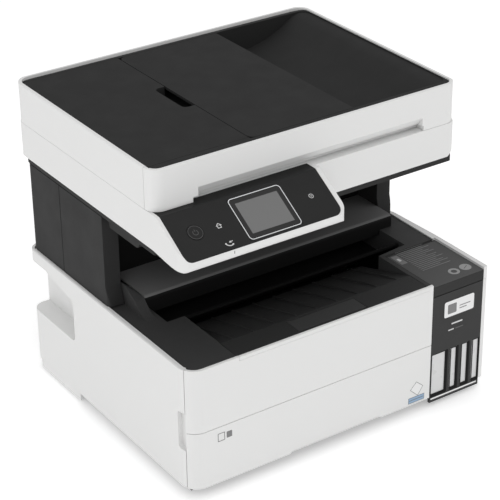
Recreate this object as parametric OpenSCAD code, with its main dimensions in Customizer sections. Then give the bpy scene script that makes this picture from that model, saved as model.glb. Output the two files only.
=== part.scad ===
// Ink tank all-in-one printer: lower body with paper cassette, side ink tanks and sliding output tray,
// rear tower with the print mechanism, hinged scanner unit with a tilted control panel,
// hinged document cover with an automatic feeder.
// Millimetres, +Z up, front towards -Y, origin on the table at the middle of the lower body.

/* [Overall] */
// Width over the side panels
body_w = 375; // [340:1:460]
// Depth from the front panel to the rear cover
body_d = 347; // [320:1:430]
// Height from the table to the rim of the lower body
base_h = 152; // [140:1:190]
// Height of the tower between the lower body and the scanner unit
tower_h = 103; // [90:1:130]
// Height of the white part of the scanner unit
scanner_h = 38.5; // [34:0.5:50]
// Height of the document cover with its feeder
cover_h = 44.2; // [40:0.2:56]

/* [Shell] */
// Wall of the white and dark outer shells
wall = 3; // [2:0.5:4]
// Vertical corner radius of the lower body and the tower
corner_r = 18; // [8:1:24]
// Width of the white rim around the dark deck
rim_w = 5; // [4:0.5:7]
// Step of the tower in from the side panels
tower_inset = 3.5; // [2:0.5:8]
// Step of the scanner unit and the cover in from the side panels
scanner_inset = 1.1; // [0.5:0.1:6]
// Depth of the tower from its front columns to its back wall
tower_d = 161.3; // [140:0.1:175]
// Rear step of the lower body's back wall behind which the rear cover stands proud
rear_proud = 20.5; // [12:0.5:30]
// Height of the rubber feet
foot_h = 5; // [3:0.5:9]
// Seam between neighbouring shells
seam = 0.6; // [0.3:0.1:0.8]

/* [Paper] */
// Width of the widest sheet
paper_w = 210; // [182:1:216]
// Height of the paper cassette's front
cassette_h = 66; // [50:1:72]
// Wall of the cassette tray
tray_wall = 2.4; // [1.6:0.2:3]
// Slope of the output tray in degrees
tray_slope = 17; // [10:1:20]
// Thickness of one output tray plate
tray_t = 2.2; // [1.8:0.2:3]
// Depth of the flat strip at the front of the output tray
strip_d = 31; // [20:1:38]

/* [Ink unit] */
// Width of the ink tank unit
ink_w = 68.2; // [60:0.2:90]
// Depth of the ink tank unit's lid
ink_d = 83; // [70:1:110]
// Height of the tank windows
window_h = 50; // [30:1:60]
// Swell of the right side beside the ink tank unit
side_swell = 4.4; // [3.4:0.2:6]
// Wall of one ink tank
tank_wall = 1.6; // [1.2:0.1:2.2]

/* [Control panel] */
// Overhang of the control panel in front of the scanner
panel_d = 56; // [48:1:66]
// Width of the control panel wedge
panel_w = 190.4; // [170:0.2:230]
// Tilt of the control panel in degrees from level
panel_tilt = 31.3; // [20:0.1:34]
// Width of the display window
lcd_w = 49; // [42:1:60]
// Height of the display window
lcd_h = 36.7; // [30:0.1:38]
// Diameter of the power button
button_d = 16.3; // [10:0.1:20]
// Gap around the power button
button_gap = 0.4; // [0.3:0.1:0.6]

/* [Document feeder] */
// Width of the feeder cover
feeder_w = 115.5; // [100:0.5:130]
// Width of the document support flap
support_w = 125; // [110:1:140]
// Depth of the feeder flaps along Y
flap_d = 250; // [220:1:256]
// Thickness of the feeder flaps
flap_t = 3; // [2.4:0.2:4]

/* [Mechanism] */
// Radius of the main paper feed roller
feed_r = 6; // [5:0.5:8]
// Radius of the eject shaft
eject_r = 3; // [2.5:0.5:4]
// Width of the print carriage
carriage_w = 56; // [46:1:70]
// Radius of the belt pulleys
pulley_r = 6; // [5:0.5:8]
// Radius of the hinge pins
pin_r = 2; // [1.5:0.1:3]
// Radial running clearance of shafts and pins
run_gap = 0.06; // [0.03:0.01:0.09]
// Thickness of the scanner glass
glass_t = 3; // [2.5:0.1:4]

/* [Hidden] */

// Outline of the whole printer
xl = -body_w / 2;
xr = body_w / 2;
yf = -body_d / 2;
yb = body_d / 2;

// Lower body
rim_z = base_h;
deck_z = rim_z - 1.5;
base_back = yb - rear_proud;
cas_z0 = 13;
pan_z = cas_z0 - 0.4;
foot_in = 34;
cas_z1 = cas_z0 + cassette_h;
shelf_z = cas_z1 + 3;
panel_back_wrap = 25;

// Ink unit along the right of the lower body
ink_x0 = xr - 2.1 - ink_w;
ink_x1 = xr - 2.1;
ink_back = yf + ink_d;
ink_lid_z = rim_z - 2.7;
ink_lid_lip = 11.8;

// Tower
tw_x = xr - tower_inset;
tw_back = base_back - 3;
tw_front = tw_back - tower_d;
tw_top = rim_z + tower_h;
tw_seam = tw_back - 74;
col_x0 = tw_x - 18.3;
recess_d = 33.3;

// Output path
strip_x0 = xl + 60;
strip_x1 = ink_x0 - 5.7;
strip_y1 = yf + 2.6 + strip_d;
lip_h = 4.4;
lip_gap = 0.25;
paper_x = (strip_x0 + strip_x1) / 2;
pit_x0 = xl + 39;
pit_x1 = xr - 38;
crest_y = yf + 100.2;
crest_z = deck_z - 2;
bar_y = tw_front - 28.2;
bar_z = rim_z + 13;
bar_x0 = xl + 34.5;
slope_t = tan(tray_slope);
tray_end_y = bar_y - 5;

// Cassette
tray_x0 = paper_x - paper_w / 2 - 14;
tray_x1 = paper_x + paper_w / 2 + 14;
tray_y1 = base_back - 5;
cas_x1 = ink_x0 - 0.6;
side_seam = yf + 10.5;

// Print mechanism
feed_y = tw_back - 62;
feed_z = 128;
eject_y = tw_front + 21.3;
eject_z = 126;
mech_x0 = paper_x - paper_w / 2 - 27;
mech_x1 = paper_x + paper_w / 2 + 27;
rail_y = tw_back - 52;
rail_z = feed_z + 22;
rail_top = rail_z + 56;
carriage_home = xr - 60;
belt_z = rail_z + 40;
belt_y = rail_y - 3;
belt_t = 1.2;
motor_x = xr - 30;
idler_x = xl + 30;

// Scanner unit
sc_x = xr - scanner_inset;
sc_front = yf + panel_d;
sc_back = yb - 13.7;
sb_z = tw_top + 0.5;
sc_z0 = tw_top + 8;
sc_top = sc_z0 + scanner_h;
hinge_y = tw_back + 6;
hinge_z = tw_top + 3;
hinge_x = xr - 50;
glass_x0 = xl + 34;
glass_x1 = xr - 30;
glass_y0 = sc_front + 30;
glass_y1 = sc_back - 24;
strip_glass_x0 = xl + 11;
strip_glass_x1 = xl + 27;

// Control panel
pn_x1 = -sc_x + panel_w;
pn_top_y = yf + 49.1;
pn_z_low = sc_z0 + 8.5;
pn_len = (pn_top_y - yf) / cos(panel_tilt);
pn_drop = (pn_top_y - yf) * tan(panel_tilt);

// Document cover
cv_z0 = sc_top + 0.3;
cv_top = cv_z0 + cover_h;
cv_rim = 3.7;
cv_r = 17.5;
ff_x = sc_x - cv_rim - 0.2;
ff_front = sc_front + cv_rim + 0.2;
ff_back = sc_back - cv_rim - 0.2;
ff_top = cv_top - 1.5;
cv_seam = sc_front + 14.5;
fd_x0 = -ff_x + 1;
fd_x1 = fd_x0 + feeder_w;
fl_y1 = ff_back - 8;
fl_y0 = fl_y1 - flap_d;
sp_x0 = fd_x1 + 0.8;
sp_x1 = sp_x0 + support_w;
bin_x1 = ff_x - 1.5;
cv_hinge_y = yb - 7;
cv_hinge_z = sc_top + 1.5;

// ---- Shared shapes ----

// Points along an arc
function arc(cx, cy, r, a0, a1, n = 8) =
  [for (i = [0 : n]) let (a = a0 + (a1 - a0) * i / n) [cx + r * cos(a), cy + r * sin(a)]];

// Rectangle with its own radius at each corner: front left, front right, back right, back left
function corner(x, y, r, a) = r == 0 ? [[x, y]] :
  arc(x - r * sign(cos(a + 45)), y - r * sign(sin(a + 45)), r, a, a + 90);

function corners4(x0, x1, y0, y1, r) = concat(corner(x0, y0, r[0], 180), corner(x1, y0, r[1], 270),
  corner(x1, y1, r[2], 0), corner(x0, y1, r[3], 90));

function corners(x0, x1, y0, y1, r) = corners4(x0, x1, y0, y1, [r, r, r, r]);

// Height of the sloping output tray's top surface at a place along Y
function slope_z(y) = deck_z - (y - strip_y1) * slope_t;

module box(x, y, z) {
  translate([x[0], y[0], z[0]]) cube([x[1] - x[0], y[1] - y[0], z[1] - z[0]]);
}

module slab(pts, z) {
  translate([0, 0, z[0]]) linear_extrude(z[1] - z[0]) polygon(pts);
}

// Outline in Y and Z, stretched along X
module along_x(pts, x) {
  translate([x[0], 0, 0]) rotate([90, 0, 90]) linear_extrude(x[1] - x[0]) polygon(pts);
}

// Outline in X and Z, stretched along Y
module along_y(pts, y) {
  translate([0, y[1], 0]) rotate([90, 0, 0]) linear_extrude(y[1] - y[0]) polygon(pts);
}

module rod_x(x, y, z, r) {
  translate([x[0], y, z]) rotate([0, 90, 0]) cylinder(h = x[1] - x[0], r = r, $fn = 48);
}

module rod_y(x, y, z, r) {
  translate([x, y[1], z]) rotate([90, 0, 0]) cylinder(h = y[1] - y[0], r = r, $fn = 48);
}

module rod_z(x, y, z, r) {
  translate([x, y, z[0]]) cylinder(h = z[1] - z[0], r = r, $fn = 48);
}

// ---- Lower body ----

module base_frame() {
  color("#26272a") difference() {
    union() {
      // Floor of the lower body
      base_pan();
      // Walls that guide the cassette
      box([tray_x0 - 4, tray_x0 - 1], [yf + 12, base_back - 6], [foot_h + 4, cas_z1 - 1]);
      box([tray_x1 + 1, tray_x1 + 4], [yf + 12, base_back - 6], [foot_h + 4, cas_z1 - 1]);
      // Shelf over the front of the cassette
      box([xl + 8, tray_x1 + 4], [yf + 10, 40], [cas_z1 + 0.5, shelf_z]);
      // Posts that carry the shelf on the left
      for (y = [yf + 20, yf + 110]) box([xl + 9, xl + 15], [y, y + 10], [foot_h + 4, cas_z1 + 0.5]);
    }
    for (x = [xl + foot_in, xr - foot_in], y = [yf + foot_in, base_back - foot_in])
      rod_z(x, y, [0, foot_h + 1.5], 9);
  }
}

// Floor with edges that rise under the side and front panels
module base_pan() {
  difference() {
    intersection() {
      along_y([[xl + 24, foot_h], [xr - 24, foot_h], [xr - 4, pan_z - 1.2], [xr - 4, pan_z],
        [xl + 4, pan_z],
        [xl + 4, pan_z - 1.2]], [yf, base_back - 4]);
      along_x([[yf + 27, foot_h], [base_back - 4, foot_h], [base_back - 4, pan_z], [yf + 7, pan_z],
        [yf + 7, pan_z - 1.2]], [xl, xr]);
    }
    box([xl + 19, xr - 19], [yf + 22, base_back - 3], [foot_h + 4, pan_z + 1]);
    box([ink_x0 - 1, xr], [yf, ink_back + 2], [foot_h + 4, pan_z + 1]);
  }
}

module rubber_feet() {
  color("#1b1b1c") for (x = [xl + foot_in, xr - foot_in], y = [yf + foot_in, base_back - foot_in])
    translate([x, y, 0]) cylinder(h = foot_h + 1.5, r1 = 8, r2 = 8.8, $fn = 40);
}

// Angle on the front corner's arc at a place along Y
function corner_angle(y) = 180 + asin((yf + corner_r - y) / corner_r);
side_a = corner_angle(side_seam + seam / 2);
front_a = corner_angle(side_seam - seam / 2);

// Plan of one white side panel with its front edge and rear corner, the left one
function side_plan(t) = concat(
  arc(xl + corner_r, yf + corner_r, corner_r, 180, side_a, 4),
  arc(xl + corner_r, yf + corner_r, corner_r - t, side_a, 180, 4),
  arc(xl + 14, base_back - 14, 14 - t, 180, 90, 6),
  [[xl + panel_back_wrap, base_back - t], [xl + panel_back_wrap, base_back]],
  arc(xl + 14, base_back - 14, 14, 90, 180, 6));

// Grip recess through the rear corner, as an outline in Y and Z grown by t
grip_y0 = base_back - 98;
grip_z0 = rim_z - 75;
grip_z1 = rim_z - 14;
function grip_outline(t) = concat(
  arc(grip_y0 + 6, grip_z0 + 6, 6 + t, 180, 270, 4), [[yb, grip_z0 - t], [yb, grip_z1 + t]],
  arc(grip_y0 + 60, grip_z1 - 10, 10 + t, 90, 130, 4), arc(grip_y0 + 8, grip_z1 - 16, 8 + t, 130, 180, 4));

module side_shell() {
  grip_x = 22;
  difference() {
    union() {
      slab(side_plan(wall), [cas_z0 + 0.5, rim_z]);
      slab(concat(arc(xl + corner_r, yf + corner_r, corner_r, 180, side_a, 4),
        arc(xl + corner_r, yf + corner_r, corner_r - rim_w, side_a, 180, 4),
        [[xl + rim_w, base_back - 12], [xl, base_back - 12]]), [deck_z + 0.2, rim_z]);
      // Lower edge behind the step
      box([xl, xl + wall], [51, base_back - 14], [foot_h, cas_z0 + 0.6]);
      // Liner of the finger notch
      box([xl + 1, xl + 7.2], [side_seam + 1.6, side_seam + 13.5], [cas_z1 - 23.5, cas_z1 + 25]);
      // Liner of the grip recess
      intersection() {
        along_x(grip_outline(2), [xl + 1, xl + grip_x + 2]);
        slab(concat([[xl + 1, 0], [xl + grip_x + 2, 0]], [[xl + grip_x + 2, base_back]],
          arc(xl + 14, base_back - 14, 14, 90, 180, 6)), [60, deck_z - 3.5]);
      }
    }
    // The recess itself, open to the side and the back
    along_x(grip_outline(0), [xl - 1, xl + grip_x]);
    // Finger notch beside the cassette's front
    along_x(corners(side_seam - 4, side_seam + 11, cas_z1 - 21, cas_z1 + 22.5, 4), [xl - 1, xl + 5.2]);
  }
}

module left_side_panel() {
  color("#dcdcdc") difference() {
    side_shell();
    // Bevel along the outside of the rim
    along_y([[xl - 1, rim_z - 1.4], [xl + 1.6, rim_z + 0.2], [xl - 1, rim_z + 0.2]], [yf, yb]);
  }
}

// Plan of the right side where it swells out beside the ink unit, its outer line only
swell_x = xr + side_swell;
swell_y = [ink_back - 20, ink_back + 76];
swell_line = concat([[xr, swell_y[1]], [swell_x, swell_y[0]]],
  arc(swell_x - 3, yf + 3.3, 3, 0, -90, 4), [[ink_x1 + 0.3, yf + 0.3]]);

module right_side_panel() {
  color("#dcdcdc") difference() {
    union() {
      mirror([1, 0, 0]) difference() {
        side_shell();
        box([xl - 1, xl + 30], [yf - 1, ink_back + 0.3], [0, rim_z + 1]);
        along_y([[xl - 1, rim_z - 1.4], [xl + 1.6, rim_z + 0.2], [xl - 1, rim_z + 0.2]], [yf, yb]);
      }
      // Outer skin of the swell
      slab(concat([[xr - 1, swell_y[1]]], swell_line,
        [[ink_x1 + 0.3, yf + wall], [swell_x - wall, yf + wall],
        [swell_x - wall, swell_y[0]],
        [xr - 1, swell_y[1] - (swell_y[1] - swell_y[0]) * (wall - 1) / side_swell]]),
          [cas_z0 + 0.5, rim_z]);
      // Rim that closes the swell at the top
      slab(concat([[xr - 2, swell_y[1]]], swell_line, [[ink_x1 + 0.3, ink_back + 0.3],
        [xr - 2, ink_back + 0.3]]), [rim_z - wall, rim_z]);
    }
    // Groove that carries on the line under the ink lid
    box([ink_x1, swell_x + 1], [yf, yf + 0.8], [ink_lid_z - ink_lid_lip - 0.5, ink_lid_z - ink_lid_lip]);
    // Bevel along the outside of the rim
    along_y([[swell_x + 1, rim_z - 1.4], [swell_x - 1.6, rim_z + 0.2], [swell_x + 1, rim_z + 0.2]],
      [yf, yb]);
  }
}

module front_panel() {
  color("#e0e0e0") difference() {
    union() {
      // Skin with the rounded left corner
      slab(concat(arc(xl + corner_r, yf + corner_r, corner_r, front_a, 270, 8),
        [[ink_x0 - seam, yf], [ink_x0 - seam, yf + wall]],
        arc(xl + corner_r, yf + corner_r, corner_r - wall, 270, front_a, 8)), [cas_z1 + seam, rim_z]);
      // Fixing ribs behind the skin
      for (x = [xl + 50, 0, ink_x0 - 30]) box([x, x + 2], [yf + wall - 0.2, yf + 7], [shelf_z + 1, 140]);
    }
    // Lowered edge under the output tray's lip
    box([strip_x0 - lip_gap, strip_x1 + lip_gap], [yf - 1, yf + wall + 1],
      [rim_z - lip_h - lip_gap, rim_z + 1]);
    // Chamfer along the rim
    along_x([[yf - 1, rim_z - 1.2], [yf + 1.4, rim_z + 0.2], [yf - 1, rim_z + 0.2]], [xl - 1, xr]);
  }
}

// Plan of the output pit, grown outwards by t
function pit_plan(t) = [
  [pit_x0 - t, tw_front + 30], [pit_x0 - t, crest_y - t], [strip_x0 - t, crest_y - t],
  [strip_x0 - t, yf + 9], [strip_x1 + t, yf + 9], [strip_x1 + t, ink_back + 4 + t],
  [pit_x1 + t + 1, ink_back + 8 + t], [pit_x1 + t, tw_front - 26], [pit_x1 + t, tw_front + 30]];

module deck_frame() {
  dx0 = xl + rim_w + 0.3;
  dx1 = xr - rim_w - 0.3;
  dy0 = yf + wall + 0.3;
  plan = concat(arc(dx0 + 14, dy0 + 14, 14, 180, 270, 8),
    [[ink_x0 - seam, dy0], [ink_x0 - seam, ink_back + 0.6], [dx1, ink_back + 0.6],
     [dx1, tw_front + 26], [dx0, tw_front + 26]]);
  color("#3a3a3c") union() {
    difference() {
      slab(plan, [deck_z - 3, deck_z]);
      slab(pit_plan(0), [deck_z - 4, deck_z + 1]);
      // Room for the tray's strip at the front
      box([strip_x0 - seam, strip_x1 + seam], [yf, strip_y1 + 2], [deck_z - 4, deck_z + 1]);
      box([pit_x0, pit_x1], [tw_front - 5, yb], [deck_z - 4, deck_z + 1]);
    }
    // Walls of the pit
    difference() {
      slab(pit_plan(2.2), [shelf_z + 4, deck_z - 0.5]);
      slab(pit_plan(0), [shelf_z, deck_z + 1]);
      box([strip_x0 - 5, strip_x1 + 5], [yf, strip_y1 + 3], [0, deck_z + 1]);
      box([xl, xr], [tw_front + 3, yb], [0, deck_z + 1]);
      // Way for the tray plates where the pit steps in
      box([strip_x0 - seam, strip_x1 + seam], [crest_y - 4, crest_y + 6], [0, crest_z]);
    }
    // Fairing that sweeps up from the deck beside the exit bar
    intersection() {
      along_y([[bar_x0 - 12, deck_z - 1], [bar_x0 - 0.6, deck_z - 1], [bar_x0 - 0.6, bar_z - 0.6],
        [bar_x0 - 12, bar_z + 9]], [bar_y - 32, tw_front - 0.3]);
      along_x(concat([[bar_y - 26, deck_z - 1.5]], arc(bar_y - 26, deck_z + 34, 34, 270, 322, 8),
        [[tw_front - 2, bar_z + 12], [tw_front, bar_z + 12], [tw_front, deck_z - 1.5]]), [xl, xr]);
    }
  }
}

bar_h = 20;

module exit_cover() {
  color("#3d3d3f") union() {
    difference() {
      along_x(concat([[bar_y, bar_z - bar_h]], arc(bar_y + 5, bar_z - 5, 5, 180, 90, 6),
        [[tw_front + recess_d - 0.4, bar_z], [tw_front + recess_d - 0.4, bar_z - 3],
         [bar_y + 6, bar_z - 3]], arc(bar_y + 5.5, bar_z - 5.5, 2.5, 90, 180, 4),
        [[bar_y + 3, bar_z - bar_h]]), [bar_x0, tw_x - 18.6]);
      // The bar stands on the deck beside the pit
      box([pit_x1 - 0.4, xr], [tw_front - 60, tw_front - 0.3], [deck_z - 50, deck_z + 0.3]);
      box([xl, pit_x0 + 0.4], [tw_front - 60, tw_front - 0.3], [deck_z - 50, deck_z + 0.3]);
    }
    // Left end
    box([bar_x0, bar_x0 + 2.5], [bar_y + 4, tw_front], [deck_z + 0.3, bar_z - 2.5]);
    // Ribs that steer the paper down to the tray
    for (i = [-4 : 4]) box([paper_x + i * 24 - 0.8, paper_x + i * 24 + 0.8], [bar_y + 2.5, bar_y + 12],
      [bar_z - bar_h, bar_z - 2.5]);
  }
}

module tower_cover() {
  z0 = rim_z + 0.3;
  difference() {
    union() {
      // Side wall, leaning forward a little towards its foot
      along_x([[tw_front - 7, z0], [tw_seam - seam / 2, z0], [tw_seam - seam / 2, tw_top],
        [tw_front - 1, tw_top], [tw_front - 1, z0 + 22]], [-tw_x, -tw_x + wall]);
      // Front column
      along_x([[tw_front - 7, z0], [tw_front + 2, z0], [tw_front + 2, tw_top], [tw_front - 1, tw_top],
        [tw_front - 1, z0 + 22]], [-tw_x, -col_x0]);
      // Inner side of the column
      box([-col_x0 - 2.5, -col_x0], [tw_front, tw_front + recess_d], [z0, tw_top]);
    }
    // Rounded front corner
    difference() {
      box([-tw_x - 1, -tw_x + 6], [tw_front - 9, tw_front + 5], [z0 - 1, tw_top + 1]);
      slab(concat(arc(-tw_x + 6, tw_front - 1, 6, 180, 270, 6), [[-tw_x + 7, tw_front - 9],
        [-tw_x + 7, tw_front + 6], [-tw_x, tw_front + 6]]), [z0 - 1, tw_top + 1]);
    }
  }
}

module tower_covers() {
  color("#414143") {
    tower_cover();
    mirror([1, 0, 0]) tower_cover();
  }
}

module inner_wall() {
  y0 = tw_front + recess_d;
  color("#202022") union() {
    box([-tw_x + wall + 0.5, tw_x - wall - 0.5], [y0, y0 + 2.5], [deck_z + 2, tw_top - 1]);
    for (i = [-3 : 3]) box([i * 46 - 1, i * 46 + 1], [y0 + 2.4, y0 + 5], [deck_z + 6, tw_top - 6]);
  }
}

// Places of the openings in the back wall
cover_x = [tray_x0 + 14, tray_x1 - 14];
rib_pitch = 34;
rib_n = floor(((cover_x[1] - cover_x[0]) / 2 - 3) / rib_pitch + 0.01);
cover_z = [62, 140];
inlet_x = xl + 39.5;
port_x = xr - 44;

module rear_case() {
  color("#3a3a3c") difference() {
    union() {
      // Upper shell with its rounded rear corners
      difference() {
        slab(corners4(-tw_x, tw_x, tw_seam + seam / 2, tw_back, [0, 0, 14, 14]), [rim_z + 0.3, tw_top]);
        slab(corners4(-tw_x + wall, tw_x - wall, tw_seam - 1, tw_back - wall, [0, 0, 11, 11]),
          [rim_z, tw_top + 1]);
      }
      // Back wall of the lower body
      box([xl + panel_back_wrap + 0.5, xr - panel_back_wrap - 0.5], [base_back - 3, base_back],
        [foot_h, rim_z + 0.2]);
      box([xl + panel_back_wrap + 0.5, xr - panel_back_wrap - 0.5], [tw_back - wall, base_back],
        [rim_z - 4, rim_z + 3]);
    }
    // Opening for the rear cover
    box([cover_x[0] - 1, cover_x[1] + 1], [base_back - 10, yb], [cover_z[0] - 1, cover_z[1] + 1]);
    // Openings for the mains inlet and the sockets
    box([inlet_x - 12.4, inlet_x + 12.4], [base_back - 5, yb], [26, 46]);
    box([port_x - 9, port_x + 9], [base_back - 5, yb], [60, 112]);
    box([port_x - 19, port_x + 19], [base_back - 5, yb], [15, 53]);
    // Vents
    for (i = [-6 : 6]) box([i * 14 - 2, i * 14 + 2], [tw_back - 8, yb], [tw_top - 36, tw_top - 20]);
  }
}

// ---- Output tray ----

module output_bed() {
  t1 = tray_t + seam;
  drop = 2 * t1;
  y0 = yf + wall + 0.4;
  color("#1d1d1f") difference() {
    union() {
      // Sloping bed under the two tray plates
      along_x([[y0, deck_z - drop - 0.3], [strip_y1, slope_z(strip_y1) - drop - 0.3],
        [tray_end_y + 1, slope_z(tray_end_y + 1) - drop - 0.3],
        [tray_end_y + 1, slope_z(tray_end_y + 1) - drop - 3],
        [strip_y1, slope_z(strip_y1) - drop - 3], [y0, deck_z - drop - 3]],
        [strip_x0 + 0.3, strip_x1 - 0.3]);
      // Ramp from the output slot up to the crest
      along_x([[crest_y, crest_z], [crest_y, crest_z - 2.5],
        [bar_y - 4, crest_z - 26.5], [bar_y + 34, crest_z - 26.5], [bar_y + 34, crest_z - 24],
        [bar_y - 4, crest_z - 24], [crest_y + 3, crest_z]], [pit_x0 + 0.4, pit_x1 - 0.6]);
      // Legs that carry the ramp and the bed from the shelf, outside the plates
      for (x = [[pit_x0 + 0.6, pit_x0 + 3], [pit_x1 - 4, pit_x1 - 1]])
        along_x([[crest_y + 0.5, shelf_z + 0.3], [bar_y + 33, shelf_z + 0.3], [bar_y + 33, crest_z - 26],
          [bar_y - 4, crest_z - 26], [crest_y + 0.5, crest_z - 2.4]], x);
      for (x = [strip_x0 + 10, paper_x, strip_x1 - 12])
        along_x([[strip_y1 - 10, shelf_z + 0.3], [tray_end_y, shelf_z + 0.3],
          [tray_end_y, slope_z(tray_end_y) - drop - 2.9], [strip_y1, slope_z(strip_y1) - drop - 2.9],
          [strip_y1 - 10, deck_z - drop - 2.9]], [x, x + 2]);
    }
  }
}

// One sloping plate, its top surface dropped by d below the tray's line
module slope_plate(x, y, d) {
  along_x([[y[0], slope_z(y[0]) - d], [y[1], slope_z(y[1]) - d], [y[1], slope_z(y[1]) - d - tray_t],
    [y[0], slope_z(y[0]) - d - tray_t]], x);
}

module output_tray_mid() {
  d = tray_t + seam;
  y0 = strip_y1 + 1;
  color("#242426") union() {
    difference() {
      slope_plate([strip_x0 + 0.6, strip_x1 - 0.6], [y0, tray_end_y], d);
      for (i = [-3 : 3]) box([paper_x + i * 30 - 5, paper_x + i * 30 + 5], [y0 + 30, y0 + 50],
        [0, deck_z]);
    }
  }
}

stop_x = [paper_x - 42, paper_x + 42];
stop_y = [yf + 8, strip_y1 - 4];

module output_tray_front() {
  lip = 2.6;
  rib_h = 2.4;
  color("#2f2f31") difference() {
    union() {
      // Flat strip at deck level
      box([strip_x0, strip_x1], [yf + lip, strip_y1 + 0.5], [deck_z - tray_t - 0.2, deck_z]);
      // Sloping plate behind it
      slope_plate([strip_x0 + 0.6, strip_x1 - 0.6], [strip_y1 - 0.6, tray_end_y - 12], 0);
      // Ribs along the paper's way
      for (i = [-4 : 4]) along_x([[strip_y1 - 0.2, deck_z - 1],
        [tray_end_y - 14, slope_z(tray_end_y - 14) - 1],
        [tray_end_y - 14, slope_z(tray_end_y - 14) + rib_h],
          [strip_y1 + 20, slope_z(strip_y1 + 20) + rib_h],
        [strip_y1 + 3, deck_z]], [paper_x + i * 26 - 0.8, paper_x + i * 26 + 0.8]);
    }
    // Seat of the stopper
    box([stop_x[0] - seam, stop_x[1] + seam], [stop_y[0] - seam - 1.6, stop_y[1] + seam],
      [deck_z - tray_t + 0.3, deck_z + 1]);
    box([stop_x[0] - 2, stop_x[1] + 2], [stop_y[0] - 0.8, stop_y[0] + 1.2],
      [deck_z - tray_t + 0.3, deck_z + 1]);
  }
  // Light front lip, level with the rim
  color("#e0e0e0") difference() {
    box([strip_x0, strip_x1], [yf, yf + lip], [rim_z - lip_h, rim_z]);
    along_x([[yf - 1, rim_z - 1.2], [yf + 1.4, rim_z + 0.2], [yf - 1, rim_z + 0.2]], [xl - 1, xr]);
  }
}

module output_stopper() {
  z = deck_z - 0.9;
  color("#343436") union() {
    box([stop_x[0], stop_x[1]], [stop_y[0], stop_y[1]], [deck_z - 1.5, deck_z]);
    rod_x([stop_x[0] - 1.6, stop_x[1] + 1.6], stop_y[0] + 0.2, z, 0.6);
  }
}

// ---- Paper cassette ----

module cassette_tray() {
  y0 = yf + wall + 0.3;
  z0 = cas_z0 + 1;
  top = cas_z1 - 8;
  color("#2b2b2d") union() {
    difference() {
      box([tray_x0, tray_x1], [y0, tray_y1], [z0, top]);
      box([tray_x0 + tray_wall, tray_x1 - tray_wall], [y0 + tray_wall, tray_y1 - tray_wall],
        [z0 + tray_wall, top + 1]);
      // Lower rear wall where the sheets leave
      box([tray_x0 + 12, tray_x1 - 12], [tray_y1 - 5, tray_y1 + 1], [z0 + 22, top + 1]);
      // Slots that the side guides run in
      box([paper_x - paper_w / 2 - 4, paper_x + paper_w / 2 + 4], [19, 25], [z0 - 1, z0 + tray_wall + 1]);
      box([paper_x - 3, paper_x + 3], [-110, tray_y1 - 20], [z0 - 1, z0 + tray_wall + 1]);
    }
    // Floor ribs
    for (y = [yf + 40, -70, 60, 110])
      box([tray_x0 + 8, paper_x - 10], [y, y + 2], [z0 + tray_wall - 0.1, z0 + tray_wall + 1]);
    for (y = [yf + 40, -70, 60, 110])
      box([paper_x + 10, tray_x1 - 8], [y, y + 2], [z0 + tray_wall - 0.1, z0 + tray_wall + 1]);
  }
}

module cassette_front() {
  color("#dedede") difference() {
    union() {
      slab(concat(arc(xl + corner_r, yf + corner_r, corner_r, front_a, 270, 8),
        [[cas_x1, yf], [cas_x1, yf + wall]],
        arc(xl + corner_r, yf + corner_r, corner_r - wall, 270, front_a, 8)), [cas_z0, cas_z1]);
      // Grip shelf under the front
      box([paper_x - 60, paper_x + 60], [yf + wall - 0.1, yf + wall + 0.25], [cas_z0 + 2, cas_z0 + 12]);
    }
    // Finger hollow under the lower edge
    along_y(concat([[paper_x - 60, cas_z0 - 1]], arc(paper_x - 52, cas_z0 - 4, 8, 180, 90, 4),
      arc(paper_x + 52, cas_z0 - 4, 8, 90, 0, 4), [[paper_x + 60, cas_z0 - 1]]), [yf - 1, yf + 2]);
  }
}

guide_z = cas_z0 + 1 + tray_wall + 1.3;

// One upright side guide with its foot and the slider under the floor
module side_guide(s) {
  gx = paper_x + s * (paper_w / 2 + 0.5);
  out = gx + s * 2;
  box([min(gx, out), max(gx, out)], [-70, 90], [guide_z, guide_z + 34]);
  box([min(gx, gx + s * 9), max(gx, gx + s * 9)], [0, 44], [guide_z, guide_z + 2]);
  box([min(gx, gx + s * 2.5), max(gx, gx + s * 2.5)], [20, 24], [guide_z - 3.5, guide_z + 0.5]);
}

module left_paper_guide() {
  color("#3c3c3e") side_guide(-1);
}

module right_paper_guide() {
  color("#3c3c3e") side_guide(1);
}

module paper_stop() {
  y = tray_y1 - 310 + 16;
  color("#3c3c3e") union() {
    box([paper_x - 22, paper_x + 22], [y - 2, y], [guide_z, guide_z + 32]);
    box([paper_x - 14, paper_x + 14], [y - 12, y - 1], [guide_z, guide_z + 2]);
  }
}

module separation_pad() {
  color("#8a5a3a") box([paper_x - 18, paper_x + 18], [tray_y1 - 34, tray_y1 - 8],
    [cas_z0 + 1 + tray_wall, cas_z0 + 2.6 + tray_wall]);
}

// ---- Ink unit ----

// The windows as [centre from the unit's left edge, width], black first
windows = [[10.8, 19], [31.5, 9], [46.8, 9], [61.9, 9]];
win_z0 = 15.5;
ink_floor = foot_h + 4.3;
tank_z0 = ink_floor + 2.8;
tank_y0 = yf + 1.2;
tank_y1 = ink_back - 6;
tank_top = ink_lid_z - 34;

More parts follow.
